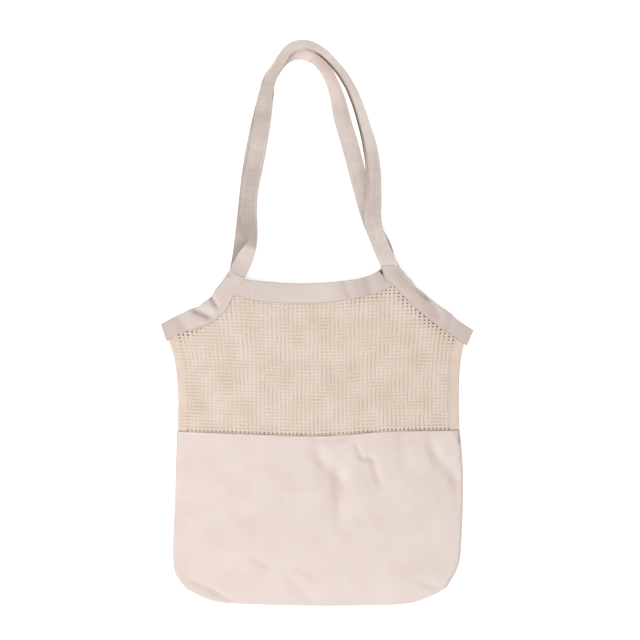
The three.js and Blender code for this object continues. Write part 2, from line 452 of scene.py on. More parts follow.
@dataclass(frozen=True)
class Shell:
    """A mesh of quads in millimetres, with a place on the cloth for each vertex.

    A third number beside the place is a shade, mostly painted light and shade with some uneven tone
    of the cloth: more than 0 is paler, less is deeper, and from -1 to -2 the cloth darkens to a
    painted shadow colour.
    """

    vertices: Array
    quads: Array
    cloth: Array

    @classmethod
    def joined(cls, shells: Sequence[Shell]) -> Shell:
        """Several shells as one.

        Args:
            shells: What to join.

        Returns:
            One shell with all their vertices and quads.
        """
        starts = np.cumsum([0] + [len(shell.vertices) for shell in shells[:-1]])
        return cls(
            np.vstack([shell.vertices for shell in shells]),
            np.vstack([shell.quads + start for shell, start in zip(shells, starts)]),
            np.vstack([shell.cloth for shell in shells]),
        )

    @classmethod
    def sheet(cls, top: Array, bottom: Array, cloth: Array) -> Shell:
        """A closed sheet between two skins.

        Args:
            top: Rows and columns of points of the upper skin.
            bottom: The same of the lower skin.
            cloth: Place on the cloth of each point in millimetres, and its shade.

        Returns:
            The sheet, its skins joined round the rim.
        """
        rows, columns = top.shape[:2]
        index = np.arange(rows * columns).reshape(rows, columns)
        under = index + rows * columns
        a, b, c, d = index[:-1, :-1], index[:-1, 1:], index[1:, 1:], index[1:, :-1]
        skins = [
            np.stack([a, b, c, d], -1),
            np.stack([under[:-1, :-1], under[1:, :-1], under[1:, 1:], under[:-1, 1:]], -1),
        ]
        rim = np.concatenate([index[0, :-1], index[:-1, -1], index[-1, :0:-1], index[:0:-1, 0]])
        after = np.roll(rim, -1)
        lower = rim + rows * columns
        walls = np.stack([rim, lower, np.roll(lower, -1), after], -1)
        quads = np.vstack([skin.reshape(-1, 4) for skin in skins] + [walls])
        points = np.vstack([top.reshape(-1, 3), bottom.reshape(-1, 3)])
        return cls(points, quads, np.tile(cloth.reshape(-1, 3), (2, 1)))

    @classmethod
    def rings(cls, vertices: Array, along: Array, angle: Array, tint: Array | float = 0.0) -> Shell:
        """Closed tubes from rings of points.

        Args:
            vertices: The points by tube, ring and side, with an even number of sides.
            along: Each ring's place along its yarn.
            angle: Each side's angle round the yarn.
            tint: Each ring's shade.

        Returns:
            All the tubes.
        """
        count, steps, sides = vertices.shape[:3]
        index = np.arange(count * steps * sides).reshape(count, steps, sides)
        beside = np.roll(index, -1, axis=2)
        walls = np.stack([index[:, :-1], index[:, 1:], beside[:, 1:], beside[:, :-1]], -1)
        fans = [
            np.stack([ring[:, 0], ring[:, k], ring[:, k + 1], ring[:, k + 2]], -1)
            for ring in (index[:, 0], index[:, -1, ::-1])
            for k in range(1, sides - 2, 2)
        ]
        columns = along[..., None], angle, np.asarray(tint)[..., None]
        cloth = np.stack([np.broadcast_to(column, vertices.shape[:3]) for column in columns], -1)
        quads = np.vstack([walls.reshape(-1, 4)] + fans)
        return cls(vertices.reshape(-1, 3), quads, cloth.reshape(-1, 3))

    @classmethod
    def tubes(
        cls, sides: int, paths: Array, normals: Array, half_width: Array, half_height: Array, tint: Array
    ) -> Shell:
        """Flattened yarns along paths.

        Args:
            sides: An even number of sides.
            paths: One row of points for each yarn.
            normals: The cloth's upward direction at each point.
            half_width: Half the yarn's width at each point.
            half_height: Half its height at each point.
            tint: The yarn's shade at each point.

        Returns:
            All the yarns, each a closed tube.
        """
        tangent = unit(np.gradient(paths, axis=1))
        across = unit(np.cross(normals, tangent))
        upward = np.cross(tangent, across)
        angle = np.arange(sides) / sides * math.tau - math.pi / 2
        wide = half_width[..., None, None] * np.cos(angle)[:, None] * across[:, :, None, :]
        high = half_height[..., None, None] * np.sin(angle)[:, None] * upward[:, :, None, :]
        return cls.rings(paths[:, :, None, :] + wide + high, stepped_length(paths, 1), angle, tint)

    def build(self, name: str, material: bpy.types.Material, slot: str) -> bpy.types.Object:
        """The shell as a piece of the scene that rides on the bag.

        Args:
            name: The piece's name.
            material: What it wears.
            slot: Not used.

        Returns:
            The new object.
        """
        mesh = bpy.data.meshes.new(name)
        mesh.vertices.add(len(self.vertices))
        mesh.vertices.foreach_set("co", (self.vertices * MM).ravel())
        mesh.loops.add(self.quads.size)
        mesh.loops.foreach_set("vertex_index", self.quads.ravel())
        mesh.polygons.add(len(self.quads))
        mesh.polygons.foreach_set("loop_start", np.arange(0, self.quads.size, 4))
        mesh.polygons.foreach_set("use_smooth", np.ones(len(self.quads), bool))
        mesh.update(calc_edges=True)
        mesh.validate()
        place = mesh.attributes.new(CLOTH_PLACE, "FLOAT_VECTOR", "POINT")
        place.data.foreach_set("vector", self.cloth.ravel())
        mesh.materials.append(material)
        piece = bpy.data.objects.new(name, mesh)
        bpy.context.scene.collection.objects.link(piece)
        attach(piece, BODY)
        log.info("%s: %d faces", name, len(self.quads))
        return piece



# ---- Finishes -------------------------------------------------------------------------------


class Wire:
    """One output of a shader node, on which Python's arithmetic adds Math nodes."""

    def __init__(self, recipe: Recipe, socket: bpy.types.NodeSocket) -> None:
        """Wraps a socket of the recipe's node tree."""
        self.recipe = recipe
        self.socket = socket

    def __add__(self, other: Wire | float) -> Wire:
        """Sum."""
        return self.recipe.math("ADD", self, other)

    __radd__ = __add__

    def __sub__(self, other: Wire | float) -> Wire:
        """Difference."""
        return self.recipe.math("SUBTRACT", self, other)

    def __rsub__(self, other: float) -> Wire:
        """Difference from a number."""
        return self.recipe.math("SUBTRACT", other, self)

    def __mul__(self, other: Wire | float) -> Wire:
        """Product."""
        return self.recipe.math("MULTIPLY", self, other)

    __rmul__ = __mul__

    def __gt__(self, other: float) -> Wire:
        """1 where this is more than the number, else 0."""
        return self.recipe.math("GREATER_THAN", self, other)

    def __abs__(self) -> Wire:
        """Size without sign."""
        return self.recipe.math("ABSOLUTE", self)

    def sine(self) -> Wire:
        """Sine of an angle in radians."""
        return self.recipe.math("SINE", self)


Value = Wire | float | Sequence[float]


class Recipe:
    """The node tree of one material."""

    NOISE_ROUGHNESS = 0.55
    SPECULAR = 0.25
    SHEEN_ROUGHNESS = 0.6

    def __init__(self, name: str) -> None:
        """Starts an empty material.

        Args:
            name: What the material is called.
        """
        self.material = bpy.data.materials.new(name)
        self.material.use_nodes = True
        self.tree = self.material.node_tree
        self.tree.nodes.clear()

    def node(
        self,
        kind: str,
        settings: dict[str, object] | None = None,
        inputs: dict[str | int, Value] | None = None,
        output: str | int = 0,
    ) -> Wire:
        """Adds a node.

        Args:
            kind: Blender's name of the node's type.
            settings: Its properties, which are set before its sockets.
            inputs: Its sockets' values or what feeds them.
            output: Which of its outputs to give back.

        Returns:
            That output.
        """
        made = self.tree.nodes.new(kind)
        for key, value in (settings or {}).items():
            setattr(made, key, value)
        for key, value in (inputs or {}).items():
            if isinstance(value, Wire):
                self.tree.links.new(value.socket, made.inputs[key])
            else:
                made.inputs[key].default_value = value
        return Wire(self, made.outputs[output] if len(made.outputs) else made.inputs[0])

    def math(self, operation: str, *values: Wire | float) -> Wire:
        """A Math node on one or two values."""
        return self.node("ShaderNodeMath", {"operation": operation}, dict(enumerate(values)))

    def scaled(self, place: Wire, factors: tuple[float, float, float]) -> Wire:
        """A place, each of its coordinates times a factor."""
        inputs = {0: place, 1: factors}
        return self.node("ShaderNodeVectorMath", {"operation": "MULTIPLY"}, inputs)

    def blend(self, share: Wire | float, first: Value, second: Value) -> Wire:
        """A colour between two others; share 0 is the first."""
        inputs = {0: share, 6: first, 7: second}
        return self.node("ShaderNodeMix", {"data_type": "RGBA"}, inputs, output=2)

    def noise(self, place: Wire, scale: float, detail: float = 3.0) -> Wire:
        """Smooth noise between 0 and 1, around a half."""
        inputs = {"Vector": place, "Scale": scale, "Detail": detail, "Roughness": self.NOISE_ROUGHNESS}
        return self.node("ShaderNodeTexNoise", None, inputs)

    def cloth_place(self) -> tuple[Wire, Wire, Wire, Wire]:
        """The place on the cloth in millimetres.

        Returns:
            The whole of it, its two parts, and the cloth's shade there.
        """
        whole = self.node("ShaderNodeAttribute", {"attribute_name": CLOTH_PLACE}, output="Vector")
        parts = [self.node("ShaderNodeSeparateXYZ", None, {0: whole}, output=k) for k in range(3)]
        return whole, *parts

    def finish(
        self,
        colour: Value,
        roughness: Value,
        height: Wire,
        depth: float,
        sheen: float,
        glow: float = 0.0,
    ) -> bpy.types.Material:
        """Closes the recipe with a cloth surface.

        Args:
            colour: Base colour.
            roughness: Roughness.
            height: Relief between 0 and 1.
            depth: What a relief of 1 stands up, in millimetres.
            sheen: Weight of the fine fuzz.
            glow: Strength of its own white light.

        Returns:
            The finished material.
        """
        bump = self.node("ShaderNodeBump", None, {"Distance": depth * MM, "Height": height})
        surface = self.node(
            "ShaderNodeBsdfPrincipled",
            None,
            {
                "Base Color": colour,
                "Roughness": roughness,
                "Normal": bump,
                "Specular IOR Level": self.SPECULAR,
                "Sheen Weight": sheen,
                "Sheen Roughness": self.SHEEN_ROUGHNESS,
                "Emission Color": WHITE,
                "Emission Strength": glow,
            },
        )
        self.node("ShaderNodeOutputMaterial", None, {"Surface": surface})
        return self.material


def shade(red: int, green: int, blue: int) -> Colour:
    """A colour in the shader's linear scale.

    Args:
        red: Red as the eye sees it, from 0 to 255.
        green: The same of green.
        blue: The same of blue.

    Returns:
        Its linear parts and an alpha of 1.
    """
    linear = [
        part / 12.92 if part <= 0.04045 else ((part + 0.055) / 1.055) ** 2.4
        for part in (red / 255, green / 255, blue / 255)
    ]
    return (*linear, 1.0)


@dataclass(frozen=True)
class PlainWeave:
    """Unbleached cotton in plain weave, with slubs and a little unevenness of colour."""

    name: str
    light: Colour
    deep: Colour
    pitch: float = 0.85
    relief: float = 0.22
    sheen: float = 0.12
    # painted shadow colour, reached where the piece's shade falls from -1 to -2
    fold: Colour = shade(112, 92, 82)
    slub_scale: tuple[float, float] = (0.02, 0.9)
    cloud_scale: float = 0.03
    thread_tone: float = 0.35
    slub_tone: float = 0.7
    cloud_tone: float = 0.6
    base_tone: float = 0.3
    roughness: tuple[float, float] = (0.97, 0.12)
    heights: tuple[float, float] = (0.7, 0.6)

    def threads(self, recipe: Recipe, along: Wire, across: Wire) -> Wire:
        """Height of the woven threads.

        Args:
            recipe: The material's node tree.
            along: Place along the warp.
            across: Place along the weft.

        Returns:
            0 between the threads and 1 on top of them, warp and weft in turn.
        """
        warp = (along * (math.pi / self.pitch)).sine()
        weft = (across * (math.pi / self.pitch)).sine()
        over = (warp * weft) > 0.0
        warp_round, weft_round = abs(warp), abs(weft)
        on_top = warp_round * (weft_round * 0.5 + 0.5)
        beneath = weft_round * (warp_round * 0.5 + 0.5)
        return over * on_top + (1.0 - over) * beneath

    def material(self) -> bpy.types.Material:
        """The finish as a material.

        Returns:
            Woven cloth that lies on the piece by its cloth places.
        """
        recipe = Recipe(self.name)
        place, along, across, shift = recipe.cloth_place()
        threads = self.threads(recipe, along, across)
        long, short = self.slub_scale
        slub_along = recipe.noise(recipe.scaled(place, (long, short, 1.0)), 1.0, 2.0)
        slub_across = recipe.noise(recipe.scaled(place, (short, long, 1.0)), 1.0, 2.0)
        clouds = recipe.noise(recipe.scaled(place, (self.cloud_scale, self.cloud_scale, 1.0)), 1.0, 4.0)
        slubs = (slub_along + slub_across) * 0.5
        # the tops of the threads are painted paler and the gaps between them deeper, a painted shade
        tone = threads * self.thread_tone + slubs * self.slub_tone
        # shift adds the piece's painted light and shade; below -1 it darkens to the painted shadow colour
        tone = tone + clouds * self.cloud_tone - self.base_tone + shift
        colour = recipe.blend(-1.0 - shift, recipe.blend(tone, self.deep, self.light), self.fold)
        roughness = self.roughness[0] - slubs * self.roughness[1]
        height = threads * self.heights[0] + slubs * self.heights[1]
        return recipe.finish(colour, roughness, height, self.relief, self.sheen)


@dataclass(frozen=True)
class TwistedYarn:
    """Soft unbleached cotton yarn of two twisted plies."""

    name: str
    light: Colour
    deep: Colour
    lay: float = 2.2
    relief: float = 0.15
    sheen: float = 0.15
    # painted shadow colour, reached where the yarn's shade falls from -1 to -2
    fold: Colour = shade(150, 128, 112)
    tuft_scale: tuple[float, float, float] = (0.6, 1.2, 1.0)
    ply_tone: float = 0.4
    tuft_tone: float = 1.1
    base_tone: float = 0.25
    roughness: tuple[float, float] = (0.98, 0.1)
    heights: tuple[float, float] = (0.8, 0.5)

    def material(self) -> bpy.types.Material:
        """The finish as a material.

        Returns:
            Yarn whose plies wind round each tube.
        """
        recipe = Recipe(self.name)
        place, along, around, shift = recipe.cloth_place()
        plies = abs((along * (math.pi / self.lay) + around).sine())
        tufts = recipe.noise(recipe.scaled(place, self.tuft_scale), 1.0, 3.0)
        # the crests of the plies are painted paler and the grooves deeper, a painted shade; shift adds the
        # yarn's painted light and shade
        tone = plies * self.ply_tone + tufts * self.tuft_tone - self.base_tone + shift
        colour = recipe.blend(-1.0 - shift, recipe.blend(tone, self.deep, self.light), self.fold)
        roughness = self.roughness[0] - tufts * self.roughness[1]
        height = plies * self.heights[0] + tufts * self.heights[1]
        return recipe.finish(colour, roughness, height, self.relief, self.sheen)


@dataclass(frozen=True)
class StudioPaper:
    """White translucent paper on a light table under the bag, with a faint tooth."""

    name: str = "studio_paper"
    light: Colour = (0.93, 0.93, 0.93, 1.0)
    deep: Colour = (0.9, 0.9, 0.9, 1.0)
    glow: float = 0.4
    grain: float = 900.0
    relief: float = 0.02
    roughness: float = 0.95

    def material(self) -> bpy.types.Material:
        """The finish as a material.

        Returns:
            Paper whose tooth keeps its size in the scene.
        """
        recipe = Recipe(self.name)
        place = recipe.node("ShaderNodeNewGeometry", output="Position")
        tooth = recipe.noise(place, self.grain, 2.0)
        colour = recipe.blend(tooth, self.deep, self.light)
        return recipe.finish(colour, self.roughness, tooth, self.relief, 0.0, self.glow)


@dataclass(frozen=True)
class Wardrobe:
    """All the finishes of the bag, made once."""

    canvas: bpy.types.Material
    net: bpy.types.Material
    trim: bpy.types.Material
    tape: bpy.types.Material
    thread: bpy.types.Material

    @classmethod
    def filled(cls) -> Wardrobe:
        """Makes every finish.

        Returns:
            The full wardrobe.
        """
        canvas = PlainWeave("cotton_canvas", shade(230, 216, 209), shade(209, 193, 186))
        net = TwistedYarn("cotton_net_yarn", shade(219, 202, 189), shade(207, 189, 173))
        trim = PlainWeave("cotton_binding", shade(219, 206, 199), shade(196, 181, 174), pitch=0.8)
        tape = PlainWeave("cotton_tape", shade(252, 238, 230), shade(180, 165, 158), pitch=0.8)
        thread = TwistedYarn("sewing_thread", shade(240, 228, 218), shade(220, 204, 192), lay=0.8)
        return cls(*(finish.material() for finish in (canvas, net, trim, tape, thread)))


# ---- The bag's form -------------------------------------------------------------------------


@dataclass(frozen=True)
class BagForm:
    """Outlines of the bag in the plan and how its two faces lie, in millimetres."""

    left_side: Points = (
        (-170, -347), (-184, -327), (-187.5, -297), (-185, -235), (-181.5, -150), (-180.2, -95),
        (-184.5, -50), (-193.3, -22.4),
    )
    right_side: Points = (
        (170, -345), (184.5, -318), (188.8, -289), (191.3, -205), (186.5, -140), (185.6, -90),
        (187, -56), (192, -27.6),
    )
    bottom_seam: Points = (
        (-170, -347), (-148, -358), (-118, -365.3), (-40, -368.5), (40, -369), (115, -366.6),
        (148, -357), (170, -345),
    )
    net_seam: Points = ((-182, -141.5), (-90, -144), (5, -146.5), (90, -141), (187, -140))
    left_armhole: Points = (
        (-197.4, -11.7), (-177.5, -1), (-155, 8), (-135, 20.5), (-118.3, 39.2), (-104.6, 61.3),
    )
    right_armhole: Points = (
        (198.4, -18.9), (178, -4.8), (157, 9.5), (136.5, 27.2), (116, 46.8), (103, 62),
        (93.8, 76.5),
    )
    left_binding_width: float = 22.5
    right_binding_width: float = 21.0
    band_start: float = 0.83
    seam_clearance: float = 12.0
    pouch_rise: float = 21.0
    mouth_rise: float = 12.5
    pouch_top: float = -190.0
    mouth: float = 45.0
    side_reach: float = 190.0
    side_rounding: float = 2.7
    bottom_reach: float = 105.0
    bottom_rounding: float = 2.2
    seam_level: float = 1.3
    seam_roll: float = 3.0

    @cached_property
    def sides(self) -> dict[Side, PlanLine]:
        """The two side seams.

        Returns:
            A line for each side, from the lower corner up to the tip.
        """
        return {
            Side.LEFT: PlanLine.through(self.left_side),
            Side.RIGHT: PlanLine.through(self.right_side),
        }

    @cached_property
    def bottom(self) -> PlanLine:
        """The bottom seam."""
        return PlanLine.through(self.bottom_seam)

    @cached_property
    def seam(self) -> PlanLine:
        """The seam between the canvas and the net."""
        return PlanLine.through(self.net_seam)

    @cached_property
    def armholes(self) -> dict[Side, PlanLine]:
        """The centre lines of the armhole bindings.

        Returns:
            A line for each side, from the tip up to the strap's root.
        """
        return {
            Side.LEFT: PlanLine.through(self.left_armhole),
            Side.RIGHT: PlanLine.through(self.right_armhole),
        }

    def binding_width(self, side: Side) -> float:
        """How wide the binding of a side is."""
        return self.left_binding_width if side is Side.LEFT else self.right_binding_width

    def inside_binding(self, side: Side, tuck: float, start: float, end: float) -> PlanLine:
        """The inner edge of a binding, or a line that is tucked under it.

        Args:
            side: Which binding.
            tuck: How far the line lies under the binding.
            start: Where it starts, as a share of the binding.
            end: Where it ends.

        Returns:
            The line.
        """
        inward = -1.0 if side is Side.LEFT else 1.0
        reach = self.binding_width(side) / 2 - tuck
        return self.armholes[side].beside(inward * reach, start, end)

    def side_stops(self, side: Side, seam_end: Array, above: bool) -> list[Sequence[float]]:
        """The points of a side seam that are clear of the net seam's end.

        Args:
            side: Which side seam.
            seam_end: Where the net seam meets it.
            above: Whether those above it are wanted, else those below.

        Returns:
            The points, upward.
        """
        stops = self.left_side if side is Side.LEFT else self.right_side
        if above:
            return [p for p in stops[:-1] if p[1] > seam_end[1] + self.seam_clearance]
        return [p for p in stops if p[1] < seam_end[1] - self.seam_clearance]

    def from_sides(self, places: Array) -> Array:
        """Distance from the nearer side seam."""
        return np.minimum(*(line.distance(places) for line in self.sides.values()))

    def from_tips(self, places: Array) -> Array:
        """Distance from the side tips.

        Args:
            places: X and Y along the last axis.

        Returns:
            How far each place is from the nearer tip.
        """
        tips = [np.array(stops[0]) for stops in (self.left_armhole, self.right_armhole)]
        return np.minimum(*(np.linalg.norm(places - tip, axis=-1) for tip in tips))

    def above_seam(self, places: Array) -> Array:
        """Height above the net seam in the plan.

        Args:
            places: X and Y along the last axis; more may follow.

        Returns:
            How far each place is above the seam; negative on the canvas.
        """
        seam_height = np.interp(places[..., 0], self.seam.dense[:, 0], self.seam.dense[:, 1])
        return places[..., 1] - seam_height

    def rise(self, places: Array) -> Array:
        """The crown of the bag.

        Args:
            places: X and Y along the last axis.

        Returns:
            How far the front stands off the back at each place.
        """
        to_mouth = ease(places[..., 1], self.pouch_top, self.mouth)
        full = self.pouch_rise + (self.mouth_rise - self.pouch_rise) * to_mouth
        edge = np.minimum(self.from_sides(places), self.from_tips(places))
        side = cushion(edge, self.side_reach, self.side_rounding)
        low = cushion(self.bottom.distance(places), self.bottom_reach, self.bottom_rounding)
        return full * side * low

    def skin(self, face: Face, places: Array, edge: Array, lie: float, relief: Array) -> Array:
        """Height of the middle of a sheet whose edge is rolled into the side seam.

        Args:
            face: Which face the sheet is on.
            places: Places in the plan.
            edge: Distance of each place from the seam.
            lie: Height of the sheet's middle over the floor where the bag is flat.
            relief: Folds and unevenness to add.

        Returns:
            The height of each place.
        """
        rolled = roundness(edge, self.seam_roll)
        if face is Face.BACK:
            return self.seam_level + (lie - self.seam_level) * rolled
        full = lie + self.rise(places) + relief
        return self.seam_level + (full - self.seam_level) * rolled


# ---- Sewing ---------------------------------------------------------------------------------


@dataclass(frozen=True)
class Stitching:
    """Straight machine stitches of the thread that shows on the bag's edges."""

    pitch: float = 3.3
    length: float = 2.5
    radius: float = 0.27
    arch: float = 0.6
    sunk: float = 0.25
    blunt: float = 0.12
    rings: int = 4
    sides: int = 6

    def along(self, line: Array, normals: Array) -> Shell:
        """A row of stitches on a line.

        Args:
            line: Points on the surface that is sewn.
            normals: The surface's outward direction at each point.

        Returns:
            The stitches, each a short rounded tube that is half sunk.
        """
        run = stepped_length(line, 0)
        count = max(int(run[-1] / self.pitch), 1)
        centre = (np.arange(count) + 0.5) / count * run[-1]
        bulge = np.sin(np.linspace(self.blunt, 1.0 - self.blunt, self.rings) * math.pi)
        reach = np.linspace(-0.5, 0.5, self.rings) * self.length
        places = np.clip(centre[:, None] + reach, 0.0, run[-1])
        up = unit(sampled(places, run, normals))
        stand = bulge * self.radius * self.arch - self.radius * self.sunk
        path = sampled(places, run, line) + up * stand[:, None]
        tangent = unit(np.gradient(path, axis=1))
        across = unit(np.cross(up, tangent))
        angle = np.arange(self.sides) / self.sides * math.tau
        thick = (bulge * self.radius)[:, None, None]
        sideways = np.cos(angle)[:, None] * across[:, :, None, :]
        upward = np.sin(angle)[:, None] * up[:, :, None, :]
        return Shell.rings(path[:, :, None, :] + thick * (sideways + upward), places, angle)


# ---- Canvas ---------------------------------------------------------------------------------


@dataclass(frozen=True)
class CanvasPanel:
    """The lower panel of one face, with its hem on the net, soft folds and puckered seams."""

    form: BagForm
    face: Face
    thickness: float = 0.8
    step: float = 2.6
    lie: tuple[float, float] = (0.4, 2.3)
    hem_lift: float = 0.8
    hem_width: float = 9.0
    stitch_inset: float = 4.2
    groove: tuple[float, float] = (0.22, 1.1)
    back_hem: float = 0.4
    rounding: float = 0.9
    fine: tuple[float, ...] = (0.0, 0.12, 0.4, 0.9, 1.6, 2.4, 3.4, 5.0)
    waves: tuple[float, Ripple] = (0.34, Ripple(11, 45, 120))
    dimples: tuple[float, Ripple] = (0.12, Ripple(12, 14, 30))
    puckers: tuple[float, Ripple] = (0.3, Ripple(13, 9, 17))
    clouds: tuple[float, Ripple] = (0.08, Ripple(14, 25, 90))
    flat_edge: float = 18.0
    puckered: tuple[float, float] = (4.0, 5.0)
    # painted shade along the right seam
    right_shade: float = -0.7
    right_edge: tuple[float, float] = (1.5, 5.0)
    # painted shade along the lower edge of the hem's flap in the middle
    flap_shade: float = -0.35
    flap_starts: tuple[float, float] = (-4.0, 0.0)
    flap_ends: tuple[float, float] = (36.0, 42.0)
    flap_below: tuple[float, float] = (7.5, 4.0)
    # painted highlight on the hem's turned end at the left
    turned_highlight: float = 0.6
    turned_ends: tuple[float, float] = (-152.0, -134.0)
    turned_below: tuple[float, float] = (1.6, 1.2)
    folds: tuple[Crease, ...] = (
        Crease((-3, -151), (4, -178), 1.2, 9, 5, 0.5, painted_shading=0.35),
        Crease((4, -178), (26, -201), 1.4, 12, 6, 0.8, painted_shading=0.4),
        Crease((26, -201), (27, -238), 1.4, 14, 6, 0.9, painted_shading=0.4),
        Crease((51, -160), (58, -174), 1.1, 4, 3, painted_shading=0.5),
        Crease((58, -174), (70, -177), 1.0, 4, 3, painted_shading=0.5),
        Crease((70, -177), (79, -202), 1.1, 6, 4, painted_shading=0.45),
        Crease((110, -146), (114, -171), 0.6, 7, 9, painted_shading=0.2),
        Crease((148, -157), (152, -170), 1.3, 8, 5, 0.3, painted_shading=0.4),
        Crease((152, -170), (178, -202), 1.2, 10, 6, 0.5, painted_shading=0.35),
        Crease((178, -202), (182, -231), 1.1, 8, 5, 0.4, painted_shading=0.35),
        Crease((184, -142), (187, -153), 1.4, 3, 3, painted_shading=0.9),
        Crease((-35, -331), (-6, -364), 0.8, 4, 7, -0.3, painted_shading=0.12),
        Crease((-24, -321), (-5, -329), 0.5, 4, 4, painted_shading=0.2),
        Crease((-77, -309), (-66, -314), 0.6, 5, 5, painted_shading=0.25),
        Crease((142, -340), (161, -349), 0.9, 5, 5, painted_shading=0.35),
        Crease((-157, -339), (-132, -351), 0.8, 5, 4, 0.3, painted_shading=0.35),
        Crease((-132, -351), (-115, -361), 0.7, 5, 4, 0.3, painted_shading=0.3),
    )

    def patch(self) -> Patch:
        """The panel in the plan.

        Returns:
            A patch between the bottom seam, the net seam and the side seams.
        """
        edges = {}
        for side, end in ((Side.LEFT, self.form.seam.dense[0]), (Side.RIGHT, self.form.seam.dense[-1])):
            edges[side] = PlanLine.through([*self.form.side_stops(side, end, False), end])
        return Patch(self.form.bottom, self.form.seam, edges[Side.LEFT], edges[Side.RIGHT])

    def relief(self, places: Array, edge: Array) -> Array:
        """The unevenness of the front.

        Args:
            places: Places in the plan.
            edge: Distance of each place from the nearest outer seam.

        Returns:
            The height of the folds, waves, dimples and puckers.
        """
        soft = sum(fold.at(places) for fold in self.folds)
        for height, ripple in (self.waves, self.dimples):
            soft = soft + height * ripple.at(places)
        soft = soft * np.minimum(edge / self.flat_edge, 1.0)
        height, ripple = self.puckers
        return soft + ripple.at(places) * bell(edge, *self.puckered) * height

    def tint(self, places: Array, below: Array) -> Array:
        """Shade of the cloth.

        Args:
            places: Places in the plan.
            below: How far each place is below the net seam.

        Returns:
            The painted shade and highlight of the folds, soft clouds of uneven tone, painted shade along
            the right seam and along the lower edge of the hem's flap, and a painted highlight on the hem's
            turned end.
        """
        x = places[..., 0]
        folds = sum(fold.shade(places) for fold in self.folds)
        share, ripple = self.clouds
        # painted shade along the right seam and under the hem flap's edge, painted highlight on the turned
        # end
        from_right = self.form.sides[Side.RIGHT].distance(places)
        right = self.right_shade * (1.0 - ease(from_right, *self.right_edge))
        inner = ease(x, *self.flap_starts) * (1.0 - ease(x, *self.flap_ends))
        flap = self.flap_shade * inner * bell(below, *self.flap_below)
        turned = self.turned_highlight * (1.0 - ease(x, *self.turned_ends)) * bell(below, *self.turned_below)
        return folds + share * ripple.at(places) + right + flap + turned

    def shell(self) -> tuple[Shell, Array, Array]:
        """The panel's shape.

        Returns:
            The panel, and the places and points of its outer skin.
        """
        patch = self.patch()
        across = graded(patch.top.length, self.step, self.fine)
        up = graded(patch.left.length, self.step, self.fine)
        u, v = np.meshgrid(across, up)
        places = patch.at(u, v)
        edge = np.minimum(self.form.from_sides(places), self.form.bottom.distance(places))
        below = -self.form.above_seam(places)
        relief = self.relief(places, edge)
        lie = self.lie[0] if self.face is Face.BACK else self.lie[1]
        middle = self.form.skin(self.face, places, edge, lie, relief)
        hem = roundness(below, 1.2) * (1.0 - 0.6 * ease(below, 2.0, self.hem_width * 2))
        depth, groove_width = self.groove
        groove = bell(below, self.stitch_inset, groove_width) * depth
        half = self.thickness / 2 * roundness(np.minimum(edge, below), self.rounding)
        if self.face is Face.FRONT:
            lift = (self.hem_lift * hem - groove) * roundness(edge, 2.0)
        else:
            lift = self.back_hem * hem
        top, bottom = np.dstack([places, middle + half + lift]), np.dstack([places, middle - half])
        shell = Shell.sheet(top, bottom, np.dstack([places, self.tint(places, below)]))
        return shell, places, top if self.face is Face.FRONT else bottom

    def dress(self, wardrobe: Wardrobe) -> list[bpy.types.Object]:
        """Builds the panel and its hem stitches.

        Args:
            wardrobe: The finishes.

        Returns:
            The pieces, the cloth first.
        """
        shell, places, skin = self.shell()
        panel = shell.build(f"canvas_{self.face.value}", wardrobe.canvas, "canvas")
        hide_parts(f"canvas_{self.face.value}")
        column = np.argmin(np.abs(-self.form.above_seam(places) - self.stitch_inset), axis=0)
        pick = np.arange(skin.shape[1])
        normals = normals_of(skin) * self.face.outward
        stitches = Stitching().along(skin[column, pick][3:-3], normals[column, pick][3:-3])
        sewn = stitches.build(f"hem_stitches_{self.face.value}", wardrobe.thread, "canvas")
        return [panel, sewn]


# ---- Net ------------------------------------------------------------------------------------


